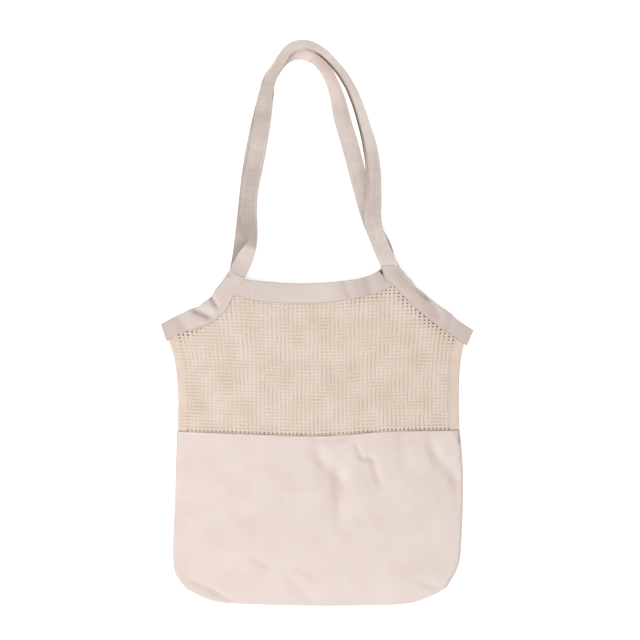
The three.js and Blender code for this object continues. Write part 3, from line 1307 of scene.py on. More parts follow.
@dataclass(frozen=True)
class NetPanel:
    """The upper panel of one face: upright ribs tied by thinner cross threads."""

    form: BagForm
    face: Face
    band: tuple[Points, Points]
    pitch: tuple[float, float] = (5.3, 4.4)
    phase: tuple[float, float] = (0.5, 0.2)
    side_ribs: tuple[tuple[float, ...], tuple[float, ...]] = (
        (2.2, 4.6, 7.0, 9.4, 11.6, 16.6),
        (2.2, 4.6, 7.0, 9.4, 11.6),
    )
    cover: tuple[float, float] = (1.15, 1.0)
    half_height: tuple[float, float] = (0.42, 0.38)
    over: float = 0.22
    opened: tuple[float, float] = (0.34, 0.38)
    pull_reach: float = 9.0
    hem_pull: tuple[float, float, float] = (0.7, 2.5, 3.5)
    loose: float = 0.03
    pulls: Points = ((-192, 1.6), (-165, 1.3), (-145, 0.25), (20, 0.2), (60, 0.7), (100, 0.95))
    lie: tuple[float, float] = (0.65, 2.4)
    tuck: float = 3.0
    under_hem: float = 4.5
    reach_up: float = 216.0
    lean_fade: float = 2.6
    slope_points: int = 40
    sag: float = 0.5
    into_trim: tuple[float, float] = (0.35, 0.2)
    into_hem: tuple[float, float] = (1.0, -1.3)
    sway: float = 0.55
    stray: tuple[float, float] = (0.16, 0.22)
    cloud_tone: float = 0.3
    # painted shadow along the inner edge of the seam allowances inside the sides
    seam_line: tuple[float, float, float] = (-0.8, 12.4, 1.0)
    # painted shadow where the net dips under the hem
    hem_line: tuple[float, float, float] = (-1.5, 0.6, 1.5)
    # painted shade, deeper to the right
    right_shade: float = -0.15
    per_row: int = 4
    per_rib: int = 3
    sides: int = 6
    seed: int = 21

    @cached_property
    def visible_top(self) -> PlanLine:
        """The edge of the bindings and the band that the net runs into."""
        return self.top_edge(0.0)

    def top_edge(self, tuck: float) -> PlanLine:
        """The net's upper end.

        Args:
            tuck: How far it lies under the bindings and the band.

        Returns:
            The line from the left tip to the right one.
        """
        form = self.form
        left = form.inside_binding(Side.LEFT, tuck, 0.0, form.band_start)
        right = form.inside_binding(Side.RIGHT, tuck, form.band_start, 0.0)
        corners = [form.inside_binding(side, 0.0, 0.0, form.band_start).dense[-1] for side in Side]
        band = PlanLine.through([corners[0], *self.band[1], corners[1]]).beside(tuck)
        return PlanLine.joined(left, band, right)

    def lean(self, side: Side, y: Array) -> Array:
        """How far the side seam has moved out of its place at the net seam.

        Args:
            side: Which side seam.
            y: Heights in the plan.

        Returns:
            The seam's shift in X at each height, going straight on above its end.
        """
        line = self.form.sides[side].dense
        x = np.interp(y, line[:, 1], line[:, 0])
        end, before = line[-1], line[-self.slope_points]
        slope = (end[0] - before[0]) / (end[1] - before[1])
        x = x + slope * np.maximum(y - end[1], 0.0)
        foot = self.form.seam.dense[0 if side is Side.LEFT else -1]
        return x - foot[0]

    def place(self, across: Array, up: Array) -> Array:
        """Where the net's grid lies in the plan.

        Args:
            across: Millimetres from the left end of the net seam.
            up: Millimetres above the net seam.

        Returns:
            X and Y of each place.
        """
        seam = self.form.seam.dense
        x = seam[0, 0] + across
        y = np.interp(x, seam[:, 0], seam[:, 1]) + up
        share = np.clip(across / (seam[-1, 0] - seam[0, 0]), 0.0, 1.0)
        to_left = np.maximum(1 - 2 * share, 0.0) ** self.lean_fade
        to_right = np.maximum(2 * share - 1, 0.0) ** self.lean_fade
        x = x + self.lean(Side.LEFT, y) * to_left + self.lean(Side.RIGHT, y) * to_right
        return np.stack([x, y], -1)

    def height(self, places: Array, from_trims: Array) -> Array:
        """Height of the middle of the net, which dips under the hem and enters the trims.

        Args:
            places: Places in the plan.
            from_trims: Distance of each place from the bindings and the band.

        Returns:
            The height of each place.
        """
        edge = self.form.from_sides(places)
        front = self.face is Face.FRONT
        relief = self.sag * Ripple(self.seed, 40, 90).at(places) * np.minimum(edge / 25, 1.0)
        level = self.form.skin(self.face, places, edge, self.lie[front], relief)
        into_trim = self.into_trim[front] * (1.0 - ease(from_trims, 0.0, 4.0))
        under_hem = self.into_hem[front] * (1.0 - ease(self.form.above_seam(places), -1.0, 4.0))
        return level + (into_trim + under_hem) * np.minimum(edge / 4, 1.0)

    def yarns(self, across: Array, up: Array, wander: float) -> tuple[Array, Array, Array]:
        """Paths of yarns on the grid.

        Args:
            across: Millimetres from the left, one row for each yarn.
            up: Millimetres above the seam, in the same shape.
            wander: How far a yarn strays by itself.

        Returns:
            The paths, each point's distance from the trims, and whether it is part of the net.
        """
        places = self.place(across, up)
        hold = np.minimum(self.form.from_sides(places) / 10, 1.0)[..., None]
        shared = np.stack([Ripple(self.seed + k, 22, 60).at(places) for k in (1, 2)], -1)
        own = places + np.random.default_rng(self.seed + 3).uniform(0, 1000, (len(places), 1, 1))
        stray = np.stack([Ripple(self.seed + k, 12, 30).at(own) for k in (4, 5)], -1)
        places = places + hold * (self.sway * shared + wander * stray)
        top = self.top_edge(self.tuck).dense
        order = np.argsort(top[:, 0])
        inside = places[..., 1] < np.interp(places[..., 0], top[order, 0], top[order, 1])
        from_trims = self.visible_top.distance(places)
        return np.dstack([places, self.height(places, from_trims)]), from_trims, inside

    def threads_over(self, places: Array) -> Array:
        """How far the threads lie over the ribs.

        Args:
            places: Points of the net.

        Returns:
            1 where a thread is above them and 0 where it is beneath.
        """
        mostly = 0.75 - 0.25 * ease(places[..., 0], -150.0, -50.0)
        return np.clip(mostly + 0.5 * Ripple(self.seed + 11, 20, 52).at(places), 0.0, 1.0)

    def half_width(self, paths: Array, from_trims: Array, thread: bool) -> Array:
        """Half the width of a yarn.

        Args:
            paths: The points of the yarns.
            from_trims: Each point's distance from the trims.
            thread: Whether they are cross threads, else ribs.

        Returns:
            More than half a mesh where the yarn lies beneath, less where it lies on top, and less
            again where the net is pulled open.
        """
        over = self.threads_over(paths)
        beneath = 1.0 - over if thread else over
        at, pull = np.array(self.pulls).T
        at_trims = bell(from_trims, 0.0, self.pull_reach) * np.interp(paths[..., 0], at, pull)
        hem_pull, *hem_place = self.hem_pull
        at_hem = hem_pull * bell(self.form.above_seam(paths), *hem_place)
        patchy = self.loose * (1 + Ripple(self.seed + 9, 50, 120).at(paths))
        pulled = np.clip(at_trims + at_hem + patchy, 0.0, 1.0)
        cover = self.cover[1] + (self.cover[0] - self.cover[1]) * beneath
        spacing = np.linalg.norm(np.gradient(paths, axis=0), axis=-1)
        mesh = np.maximum(spacing, self.pitch[thread])
        return mesh / 2 * cover * (1.0 - self.opened[thread] * pulled)

    def tint(self, paths: Array) -> Array:
        """Shade of the yarn.

        Args:
            paths: The points of the yarns.

        Returns:
            Soft clouds of uneven tone, painted shadow along the seam allowances inside the sides and where
            the net dips under the hem, and painted shade that deepens to the right.
        """
        clouds = self.cloud_tone * Ripple(self.seed + 12, 25, 80).at(paths)
        seam_tone, *seam_place = self.seam_line
        hem_tone, *hem_place = self.hem_line
        # painted shadow by the seam allowances and the hem, and painted shade to the right; the clouds are
        # uneven tone
        seams = seam_tone * bell(self.form.from_sides(paths[..., :2]), *seam_place)
        hem = hem_tone * bell(self.form.above_seam(paths), *hem_place)
        return clouds + seams + hem + self.right_shade * ease(paths[..., 0], -120.0, 160.0)

    def runs(self, paths: Array, inside: Array, widths: Array, heights: Array) -> Shell:
        """Tubes along the parts of paths that belong to the net.

        Args:
            paths: The points of the yarns, one row for each.
            inside: Whether each point belongs to the net.
            widths: Half the width at each point.
            heights: Half the height at each point.

        Returns:
            All the tubes, tilted with the cloth.
        """
        tubes = []
        normals = normals_of(paths)
        normals = normals * np.sign(normals[..., 2:])
        for kept, *yarn in zip(inside, paths, normals, widths, heights, self.tint(paths)):
            turns = np.flatnonzero(np.diff(np.concatenate([[0], kept.astype(int), [0]])))
            for first, last in zip(turns[::2], turns[1::2]):
                if last - first > self.per_row:
                    parts = (rows[None, first:last] for rows in yarn)
                    tubes.append(Shell.tubes(self.sides, *parts))
        return Shell.joined(tubes)

    @property
    def span(self) -> float:
        """Width of the net at its seam."""
        return float(self.form.seam.dense[-1, 0] - self.form.seam.dense[0, 0])

    def rib_shell(self) -> Shell:
        """The upright ribs.

        Returns:
            Ribs that are thicker where a thread is tied in and closer along the side seams.
        """
        left, right = self.side_ribs
        first, last = left[-1] + self.pitch[0], self.span - right[-1] - self.pitch[0]
        count = int(round((last - first) / self.pitch[0]))
        middle = np.linspace(first, last, count + 1) + (self.phase[0] - 0.5) * self.pitch[0]
        starts = np.concatenate([left, middle, self.span - np.array(right[::-1])])
        rise = np.arange(-self.under_hem, self.reach_up, self.pitch[1] / self.per_row)
        across, up = np.meshgrid(starts, rise, indexing="ij")
        paths, from_trims, inside = self.yarns(across, up, self.stray[0])
        rng = np.random.default_rng(self.seed + 6)
        knot = np.cos((up / self.pitch[1] - self.phase[1]) * math.tau) * 0.5 + 0.5
        own = rng.uniform(0.97, 1.03, (len(starts), 1)) * (0.98 + 0.04 * knot)
        own = own * (1 + 0.02 * Ripple(self.seed + 7, 8, 20).at(paths))
        width = self.half_width(paths, from_trims, False) * own
        height = self.half_height[0] * (0.95 + 0.2 * knot)
        return self.runs(paths, inside, width, height)

    def thread_shell(self) -> Shell:
        """The cross threads.

        Returns:
            Threads that lie over the ribs in patches and under them elsewhere.
        """
        rows = (np.arange(1, int(self.reach_up / self.pitch[1])) + self.phase[1] - 1) * self.pitch[1]
        steps = int(round(self.span / self.pitch[0])) * self.per_rib
        up, across = np.meshgrid(rows, np.linspace(0.4, self.span - 0.4, steps), indexing="ij")
        paths, from_trims, inside = self.yarns(across, up, self.stray[1])
        width = self.half_width(paths, from_trims, True)
        width = width * (1 + 0.03 * Ripple(self.seed + 8, 10, 26).at(paths))
        height = self.half_height[1] * np.ones_like(width)
        paths[..., 2] += self.over * (2 * self.threads_over(paths) - 1) * self.face.outward
        return self.runs(paths, inside, width, height)

    def dress(self, wardrobe: Wardrobe) -> list[bpy.types.Object]:
        """Builds the ribs and the threads.

        Args:
            wardrobe: The finishes.

        Returns:
            The pieces, the cloth first.
        """
        pieces = []
        for kind, shell in (("ribs", self.rib_shell()), ("threads", self.thread_shell())):
            piece = shell.build(f"net_{kind}_{self.face.value}", wardrobe.net, "net")
            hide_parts(f"net_{self.face.value}")
            pieces.append(piece)
        return pieces


# ---- Bands and bindings ---------------------------------------------------------------------


@dataclass(frozen=True)
class Trim:
    """What the folded canvas strips round the openings have in common."""

    thickness: float = 1.8
    step: float = 0.9
    stitch_inset: float = 2.4
    puff: float = 0.25
    # painted shade along the strip's long edges
    painted_edge_shade: float = 0.7
    groove_depth: float = 0.2
    groove_width: float = 0.8
    rounding: float = 1.1
    blunt: float = 0.3
    flush_reach: float = 6.0
    coarse: float = 2.5
    lanes: tuple[float, ...] = (0.0, 0.12, 0.45, 1.0, 1.7, 2.4, 3.1, 4.2, 6.0)
    end_steps: tuple[float, ...] = (0.0, 0.3, 1.0, 2.0)

    @property
    def stitch_rows(self) -> tuple[int, int]:
        """The two rows of points that the stitches follow."""
        inset = self.lanes.index(self.stitch_inset)
        return inset, -1 - inset

    def across(self, width: float) -> Array:
        """Shares of a strip's width, close together at its edges."""
        return graded(width, self.coarse, self.lanes)

    def along(self, length: float) -> Array:
        """Shares of a strip's length, close together at its ends."""
        return graded(length, self.step, self.end_steps)

    def groove(self, edge: Array) -> Array:
        """How deep the stitches draw the cloth in, from the distance to the nearer edge."""
        return self.groove_depth * bell(edge, self.stitch_inset, self.groove_width)

    def half(self, edge: Array, ends: Array) -> Array:
        """Half the strip's thickness, rounded off.

        Args:
            edge: Distance from the nearer long edge.
            ends: Distance from the nearer end.

        Returns:
            Half the thickness at each place.
        """
        return self.thickness / 2 * roundness(np.minimum(edge, ends + self.blunt), self.rounding)

    def sewn(self, skin: Array, face: Face, spare: int) -> list[tuple[Array, Array]]:
        """The lines of the stitches along a strip.

        Args:
            skin: The strip's outer skin.
            face: Which face it is on.
            spare: How many points are left without stitches at each end.

        Returns:
            Points and normals of both lines.
        """
        normals = normals_of(skin) * face.outward
        return [(skin[row, spare:-spare], normals[row, spare:-spare]) for row in self.stitch_rows]

    def strip(
        self, places: Array, middle: Array, edge: Array, cloth: Array, ends: Array, joined: Array
    ) -> tuple[Shell, Array, Array]:
        """A strip with rounded edges, painted shade along them and a groove under each row of stitches.

        Args:
            places: Rows and columns of places in the plan.
            middle: Height of the strip's middle at each place.
            edge: Distance of each place from the nearer long edge.
            cloth: Place on the cloth and shade.
            ends: Distance from the nearer end.
            joined: 1 where the strip runs on flush into its neighbour, else 0.

        Returns:
            The strip, and its upper and lower skins.
        """
        edge = edge + self.flush_reach * joined
        ends = ends + self.flush_reach * joined
        crown = self.puff * ease(edge, self.stitch_inset, 8.0)
        groove, half = self.groove(edge), self.half(edge, ends)
        top = np.dstack([places, middle + half - groove + crown])
        bottom = np.dstack([places, middle - half + groove])
        # the long edges are painted deeper: a painted shade
        painted_edge_shade = cloth - np.array([0.0, 0.0, self.painted_edge_shade]) * (1.0 - ease(edge, 0.5, 2.0))[..., None]
        return Shell.sheet(top, bottom, painted_edge_shade), top, bottom


@dataclass(frozen=True)
class MouthBand:
    """The canvas band along the mouth of one face, its ends tucked under the bindings."""

    form: BagForm
    face: Face
    top: Points
    bottom: Points
    trim: Trim = Trim()
    tuck: float = 4.0
    dips: tuple[float, float] = (0.25, 2.8)
    lie: tuple[float, float] = (1.0, 3.3)
    waves: tuple[float, Ripple] = (0.25, Ripple(31, 12, 34))
    rolled_top: float = 0.8
    back_dip: float = 1.9
    # painted light round the middle of the band and painted shade towards its right end
    pale: tuple[float, float, float] = (0.25, -5.0, 45.0)
    deep: tuple[float, float, float] = (-0.4, 20.0, 55.0)
    creases: tuple[Crease, ...] = (
        Crease((34, 58), (44, 27), 0.9, 7, 4, 0.5, painted_shading=0.35),
        Crease((64, 62), (70, 34), 1.1, 6, 4, -0.4, painted_shading=0.3),
        Crease((81.5, 73), (85.5, 67), 2.6, 2.4, 2.2, painted_shading=1.5, tail=3),
        Crease((86, 66), (91, 58), 1.4, 3, 3, painted_shading=0.6, tail=4),
        Crease((-88, 58), (-84, 28), 0.5, 4, 4),
        Crease((-8, 54), (-2, 24), 0.4, 9, 9),
        Crease((-50, 54), (-44, 24), 0.3, 8, 9),
    )

    def dress(self, wardrobe: Wardrobe) -> list[bpy.types.Object]:
        """Builds the band and its two rows of stitches.

        Args:
            wardrobe: The finishes.

        Returns:
            The pieces, the cloth first.
        """
        form = self.form
        ends = {side: form.inside_binding(side, self.tuck, form.band_start, 1.0) for side in Side}
        left, right = ends[Side.LEFT], ends[Side.RIGHT]
        top = PlanLine.through([left.dense[-1], *self.top, right.dense[-1]])
        bottom = PlanLine.through([left.dense[0], *self.bottom, right.dense[0]])
        patch = Patch(bottom, top, left, right)
        width = float(np.linalg.norm(top.at(np.array([0.5])) - bottom.at(np.array([0.5]))))
        u, v = np.meshgrid(self.trim.along(top.length), self.trim.across(width))
        places = patch.at(u, v)
        edge = np.minimum(v, 1 - v) * width
        end = np.minimum(u, 1 - u) * top.length
        dip = np.where(u < 0.5, *self.dips) * (1.0 - ease(end, self.tuck - 1.5, self.tuck + 6.0))
        if self.face is Face.FRONT:
            height, ripple = self.waves
            folds = sum(crease.at(places) for crease in self.creases)
            middle = self.lie[1] + form.rise(places) + height * ripple.at(places) + folds - dip
            middle = middle - self.rolled_top * v**3
        else:
            middle = self.lie[0] + self.back_dip * dip / self.dips[1]
        pale_tone, *pale_place = self.pale
        deep_tone, *deep_place = self.deep
        x = places[..., 0]
        # painted light in the middle, painted shade to the right, and the creases' painted shade and
        # highlight
        tint = pale_tone * bell(x, *pale_place) + deep_tone * ease(x, *deep_place)
        tint = tint + sum(crease.shade(places) for crease in self.creases)
        cloth = np.dstack([u * top.length, v * width, tint])
        flush = (u < 0.5) * (1.0 - ease(end, 0.0, self.tuck + 1.0))
        shell, upper, lower = self.trim.strip(places, middle, edge, cloth, end, flush)
        band = shell.build(f"top_band_{self.face.value}", wardrobe.trim, "trim")
        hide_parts(f"top_band_{self.face.value}")
        skin = upper if self.face is Face.FRONT else lower
        stitches = Shell.joined([Stitching().along(*row) for row in self.trim.sewn(skin, self.face, 4)])
        sewn = stitches.build(f"band_stitches_{self.face.value}", wardrobe.thread, "trim")
        return [band, sewn]


@dataclass(frozen=True)
class ArmholeBinding:
    """The strip that binds one armhole of one face, from the side tip to the strap's root.

    Its bumps hold a share of the length, how far the edge stands out there, and how long the bump is.
    """

    form: BagForm
    face: Face
    side: Side
    trim: Trim = Trim()
    lie: tuple[float, float] = (1.0, 3.2)
    creases: tuple[Crease, ...] = ()
    slant: tuple[float, float] = (0.0, 0.0)
    bumps: Points = ()
    inner_bumps: Points = ((0.0, 0.0, 1.0),)
    tip_shade: float = -0.4
    tip_slant: float = 4.0
    # painted shade over the whole left and right binding
    shades: tuple[float, float] = (0.0, -0.28)
    unevenness: tuple[float, Ripple] = (0.35, Ripple(43, 14, 40))
    waves: tuple[float, Ripple] = (0.22, Ripple(41, 10, 30))
    rolled_edge: float = 1.0
    ruched_from: tuple[float, float] = (1.5, 9.5)
    end_columns: tuple[int, int] = (-4, -6)

    @staticmethod
    def swell(run: Array, length: float, bumps: Points) -> Array:
        """How far an edge stands out.

        Args:
            run: How far along the binding each place is.
            length: How long the binding is.
            bumps: The bumps of the edge.

        Returns:
            The sum of the bumps at each place.
        """
        return sum(height * bell(run, at * length, width) for at, height, width in bumps)

    def dress(self, wardrobe: Wardrobe) -> list[bpy.types.Object]:
        """Builds the binding, its rows of stitches and those across its upper end.

        Args:
            wardrobe: The finishes.

        Returns:
            The pieces, the cloth first.
        """
        form = self.form
        centre = form.armholes[self.side]
        width = form.binding_width(self.side)
        u, v = np.meshgrid(self.trim.along(centre.length), self.trim.across(width))
        heading = centre.heading(u)
        left_of = np.stack([-heading[..., 1], heading[..., 0]], -1)
        places = centre.at(u) + left_of * ((v - 0.5) * width)[..., None]
        outer = v if self.side is Side.LEFT else 1 - v
        slant = (self.slant[0] * (1 - outer) + self.slant[1] * outer) * ease(u, 0.82, 1.0)
        slant = slant - self.tip_slant * (1 - outer) * (1.0 - ease(u, 0.0, 0.16))
        run = u * centre.length
        outside = self.swell(run, centre.length, self.bumps)
        inside = self.swell(run, centre.length, self.inner_bumps)
        height, ripple = self.unevenness
        bulge = outside * outer**2 - inside * (1 - outer) ** 2
        bulge = bulge + height * ripple.at(places) * (2 * outer - 1)
        outward = left_of * (1.0 if self.side is Side.LEFT else -1.0)
        places = places + heading * slant[..., None] + outward * bulge[..., None]
        edge = np.minimum(v, 1 - v) * width
        end = np.minimum(u, 1 - u) * centre.length
        if self.face is Face.FRONT:
            height, ripple = self.waves
            folds = sum((crease.at(places) for crease in self.creases), np.zeros_like(edge))
            folds = folds * ease(outer * width, *self.ruched_from)
            middle = self.lie[1] + form.rise(places) + height * ripple.at(places) + folds
            middle = middle - self.rolled_edge * outer**2
        else:
            middle = self.lie[0] + np.zeros_like(edge)
        # the ruches' painted shade and highlight, darker towards the tip, and painted shade over the right
        # binding
        tint = sum((crease.shade(places) for crease in self.creases), np.zeros_like(edge))
        tint = tint + self.tip_shade * (1.0 - ease(u, 0.05, 0.3)) + self.shades[self.side is Side.RIGHT]
        cloth = np.dstack([run, v * width, tint])
        mitred = (self.side is Side.LEFT) * ease(u, form.band_start - 0.01, form.band_start + 0.03)
        flush = mitred * (1.0 - ease(outer * width, 0.0, 5.0))
        shell, upper, lower = self.trim.strip(places, middle, edge, cloth, end, flush)
        name = f"binding_{self.face.value}_{self.side.value}"
        binding = shell.build(name, wardrobe.trim, "trim")
        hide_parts(name)
        skin = upper if self.face is Face.FRONT else lower
        normals = normals_of(skin) * self.face.outward
        runs = self.trim.sewn(skin, self.face, 3)
        runs += [(skin[3:-3, column], normals[3:-3, column]) for column in self.end_columns]
        stitches = Shell.joined([Stitching().along(*run) for run in runs])
        sewn = stitches.build(f"{name}_stitches", wardrobe.thread, "trim")
        return [binding, sewn]


# ---- Straps ---------------------------------------------------------------------------------


@dataclass(frozen=True)
class Strap:
    """A shoulder strap of folded tape between the ends of two bindings.

    Its stops hold X, Y, the lift of the lower edge, the roll and the cup. Its table of tone and light
    holds a share of the run, the tape's shade there, which is its own deeper tone with painted light
    and shade along the run, and how deep the painted shadow along its inner and outer edges is.
    """

    form: BagForm
    face: Face
    stops: Points
    # the tape's own tone with painted light and shade along the run, and painted shadow along its edges
    tone_and_light: Points
    trim: Trim = Trim()
    width: float = 22.0
    steps: int = 460
    # how far the painted shadow along the tape's edges reaches
    band_reach: tuple[float, float] = (2.2, 5.0)
    root_gap: float = 0.6
    root_lap: float = 8.0
    lap_steps: int = 5
    root_share: float = 0.06
    creases: tuple[float, ...] = ()
    crease_dip: tuple[float, float] = (-0.7, 3.0)
    crease_bank: tuple[float, float] = (0.35, 5.0)
    bank_offset: float = 6.0
    crease_slant: float = 0.35
    wave_height: float = 0.3
    flat_share: float = 0.4
    clearance: float = 0.1
    root_press: float = 1.2
    root_level: float = 2.3
    seed: int = 51

    def lapped(self, rows: Array) -> Array:
        """The rows with the first and the last one repeated for the laps at the roots."""
        first, last = rows[:1].repeat(self.lap_steps, 0), rows[-1:].repeat(self.lap_steps, 0)
        return np.concatenate([first, rows, last])

    def route(self) -> tuple[Array, Array, Array, Array]:
        """The way of the tape from root to root.

        Returns:
            The centre line with the lift of the lower edge, the roll, the cup, and the direction in
            the plan.
        """
        form = self.form
        roots = []
        for side in Side:
            line = form.armholes[side]
            along = line.headings[-1]
            place = line.dense[-1] + along * self.root_gap
            on_front = self.root_level + float(form.rise(place[None])[0])
            level = 0.0 if self.face is Face.BACK else on_front
            roots.append((along, (*place, level, 0.0, 0.0)))
        t = np.linspace(0.0, 1.0, self.steps + 1)
        rows = through([roots[0][1], *self.stops, roots[1][1]], t, extend=True)
        plan, lift = rows[:, :2], np.maximum(rows[:, 2], 0.0)
        roll, cup = np.radians(rows[:, 3]), np.radians(rows[:, 4])
        heading = unit(np.gradient(plan, axis=0))
        begin = (1.0 - ease(t, 0.0, self.root_share))[:, None]
        finish = ease(t, 1.0 - self.root_share, 1.0)[:, None]
        heading = heading * (1 - begin) + roots[0][0] * begin
        heading = unit(heading * (1 - finish) - roots[1][0] * finish)
        lap = np.linspace(self.root_lap, 0.0, self.lap_steps, endpoint=False)[:, None]
        plan = np.vstack([plan[0] - roots[0][0] * lap, plan, plan[-1] - roots[1][0] * lap[::-1]])
        centre = np.column_stack([plan, self.lapped(lift)])
        return centre, self.lapped(roll), self.lapped(cup), self.lapped(heading)

    def waves(self, run: Array, aside: Array, bend: Array) -> Array:
        """Soft waves and cross creases of the tape.

        Args:
            run: How far along the tape each column is.
            aside: How far from its middle each row is.
            bend: How much the tape is turned over there.

        Returns:
            The unevenness along the tape's normal.
        """
        on_cloth = np.stack([run * np.ones_like(aside), aside * np.ones_like(run)], -1)
        wave = self.wave_height * Ripple(self.seed, 16, 60).at(on_cloth)
        wave = wave * (self.flat_share + (1.0 - self.flat_share) * bend)
        (dip, dip_width), (bank, bank_width) = self.crease_dip, self.crease_bank
        for place in self.creases:
            offset = run - place * run[-1] - self.crease_slant * aside
            wave = wave + dip * bell(offset, 0.0, dip_width)
            wave = wave + bank * bell(offset, self.bank_offset, bank_width)
        return wave

    def skins(self) -> tuple[Array, Array, Array]:
        """The tape's shape.

        Returns:
            Its upper and lower skin, and the place on the cloth and shade of each of their points.
        """
        centre, roll, cup, heading = self.route()
        run = stepped_length(centre, 0)
        lanes = self.trim.across(self.width)
        aside = (lanes - 0.5) * self.width
        turn = roll - cup * aside[:, None] / self.width * 2
        step = np.diff(aside)[:, None]
        half_turn = (turn[1:] + turn[:-1]) / 2
        outward = np.vstack([np.zeros_like(run), np.cumsum(np.cos(half_turn) * step, axis=0)])
        downward = np.vstack([np.zeros_like(run), np.cumsum(np.sin(half_turn) * step, axis=0)])
        outward = outward - outward[[0, -1]].mean(0)
        level = downward.max(0) - downward
        side = np.stack([-heading[:, 1], heading[:, 0]], -1)
        end = np.minimum(run, run[-1] - run)
        lap = (1.0 - ease(end, self.root_lap - 1.0, self.root_lap + 9.0)) * self.root_press
        base = centre[:, 2] + self.trim.thickness / 2 + self.clearance - lap * self.face.outward
        middle = np.dstack([centre[:, :2] + side * outward[..., None], base + level])
        normal = np.dstack([side * np.sin(turn)[..., None], np.cos(turn)])
        bend = np.abs(np.sin(roll))
        shape = self.waves(run, aside[:, None], bend) * np.minimum(1.0, end / 25)
        middle = middle + normal * shape[..., None]
        edge = np.minimum(lanes, 1 - lanes)[:, None] * self.width * np.ones_like(run)
        half = normal * (self.trim.half(edge, end) - self.trim.groove(edge))[..., None]
        floor = np.array([-math.inf, -math.inf, 0.0])
        place = run / run[-1] * np.ones_like(edge)
        # the tape's own deeper tone with painted light and shade along it, and painted shadow along its
        # edges
        tone_and_light = np.array(self.tone_and_light)
        tone, inner, outer = np.moveaxis(sampled(place, tone_and_light[:, 0], tone_and_light[:, 1:]), -1, 0)
        tint = tone - inner * (1.0 - ease(lanes * self.width, *self.band_reach))[:, None]
        tint = tint - outer * (1.0 - ease((1 - lanes) * self.width, *self.band_reach))[:, None]
        cloth = np.stack([run * np.ones_like(edge), aside[:, None] * np.ones_like(run), tint], -1)
        return np.maximum(middle + half, floor), np.maximum(middle - half, floor), cloth

    def dress(self, wardrobe: Wardrobe) -> list[bpy.types.Object]:
        """Builds the strap and the two rows of stitches on each of its faces.

        Args:
            wardrobe: The finishes.

        Returns:
            The pieces, the cloth first.
        """
        top, bottom, cloth = self.skins()
        name = f"strap_{self.face.value}"
        strap = Shell.sheet(top, bottom, cloth).build(name, wardrobe.tape, "tape")
        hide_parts(name)
        rows = self.trim.sewn(top, Face.FRONT, 6) + self.trim.sewn(bottom, Face.BACK, 6)
        stitches = Shell.joined([Stitching().along(*row) for row in rows])
        sewn = stitches.build(f"strap_stitches_{self.face.value}", wardrobe.thread, "tape")
        return [strap, sewn]


# ---- The whole bag --------------------------------------------------------------------------


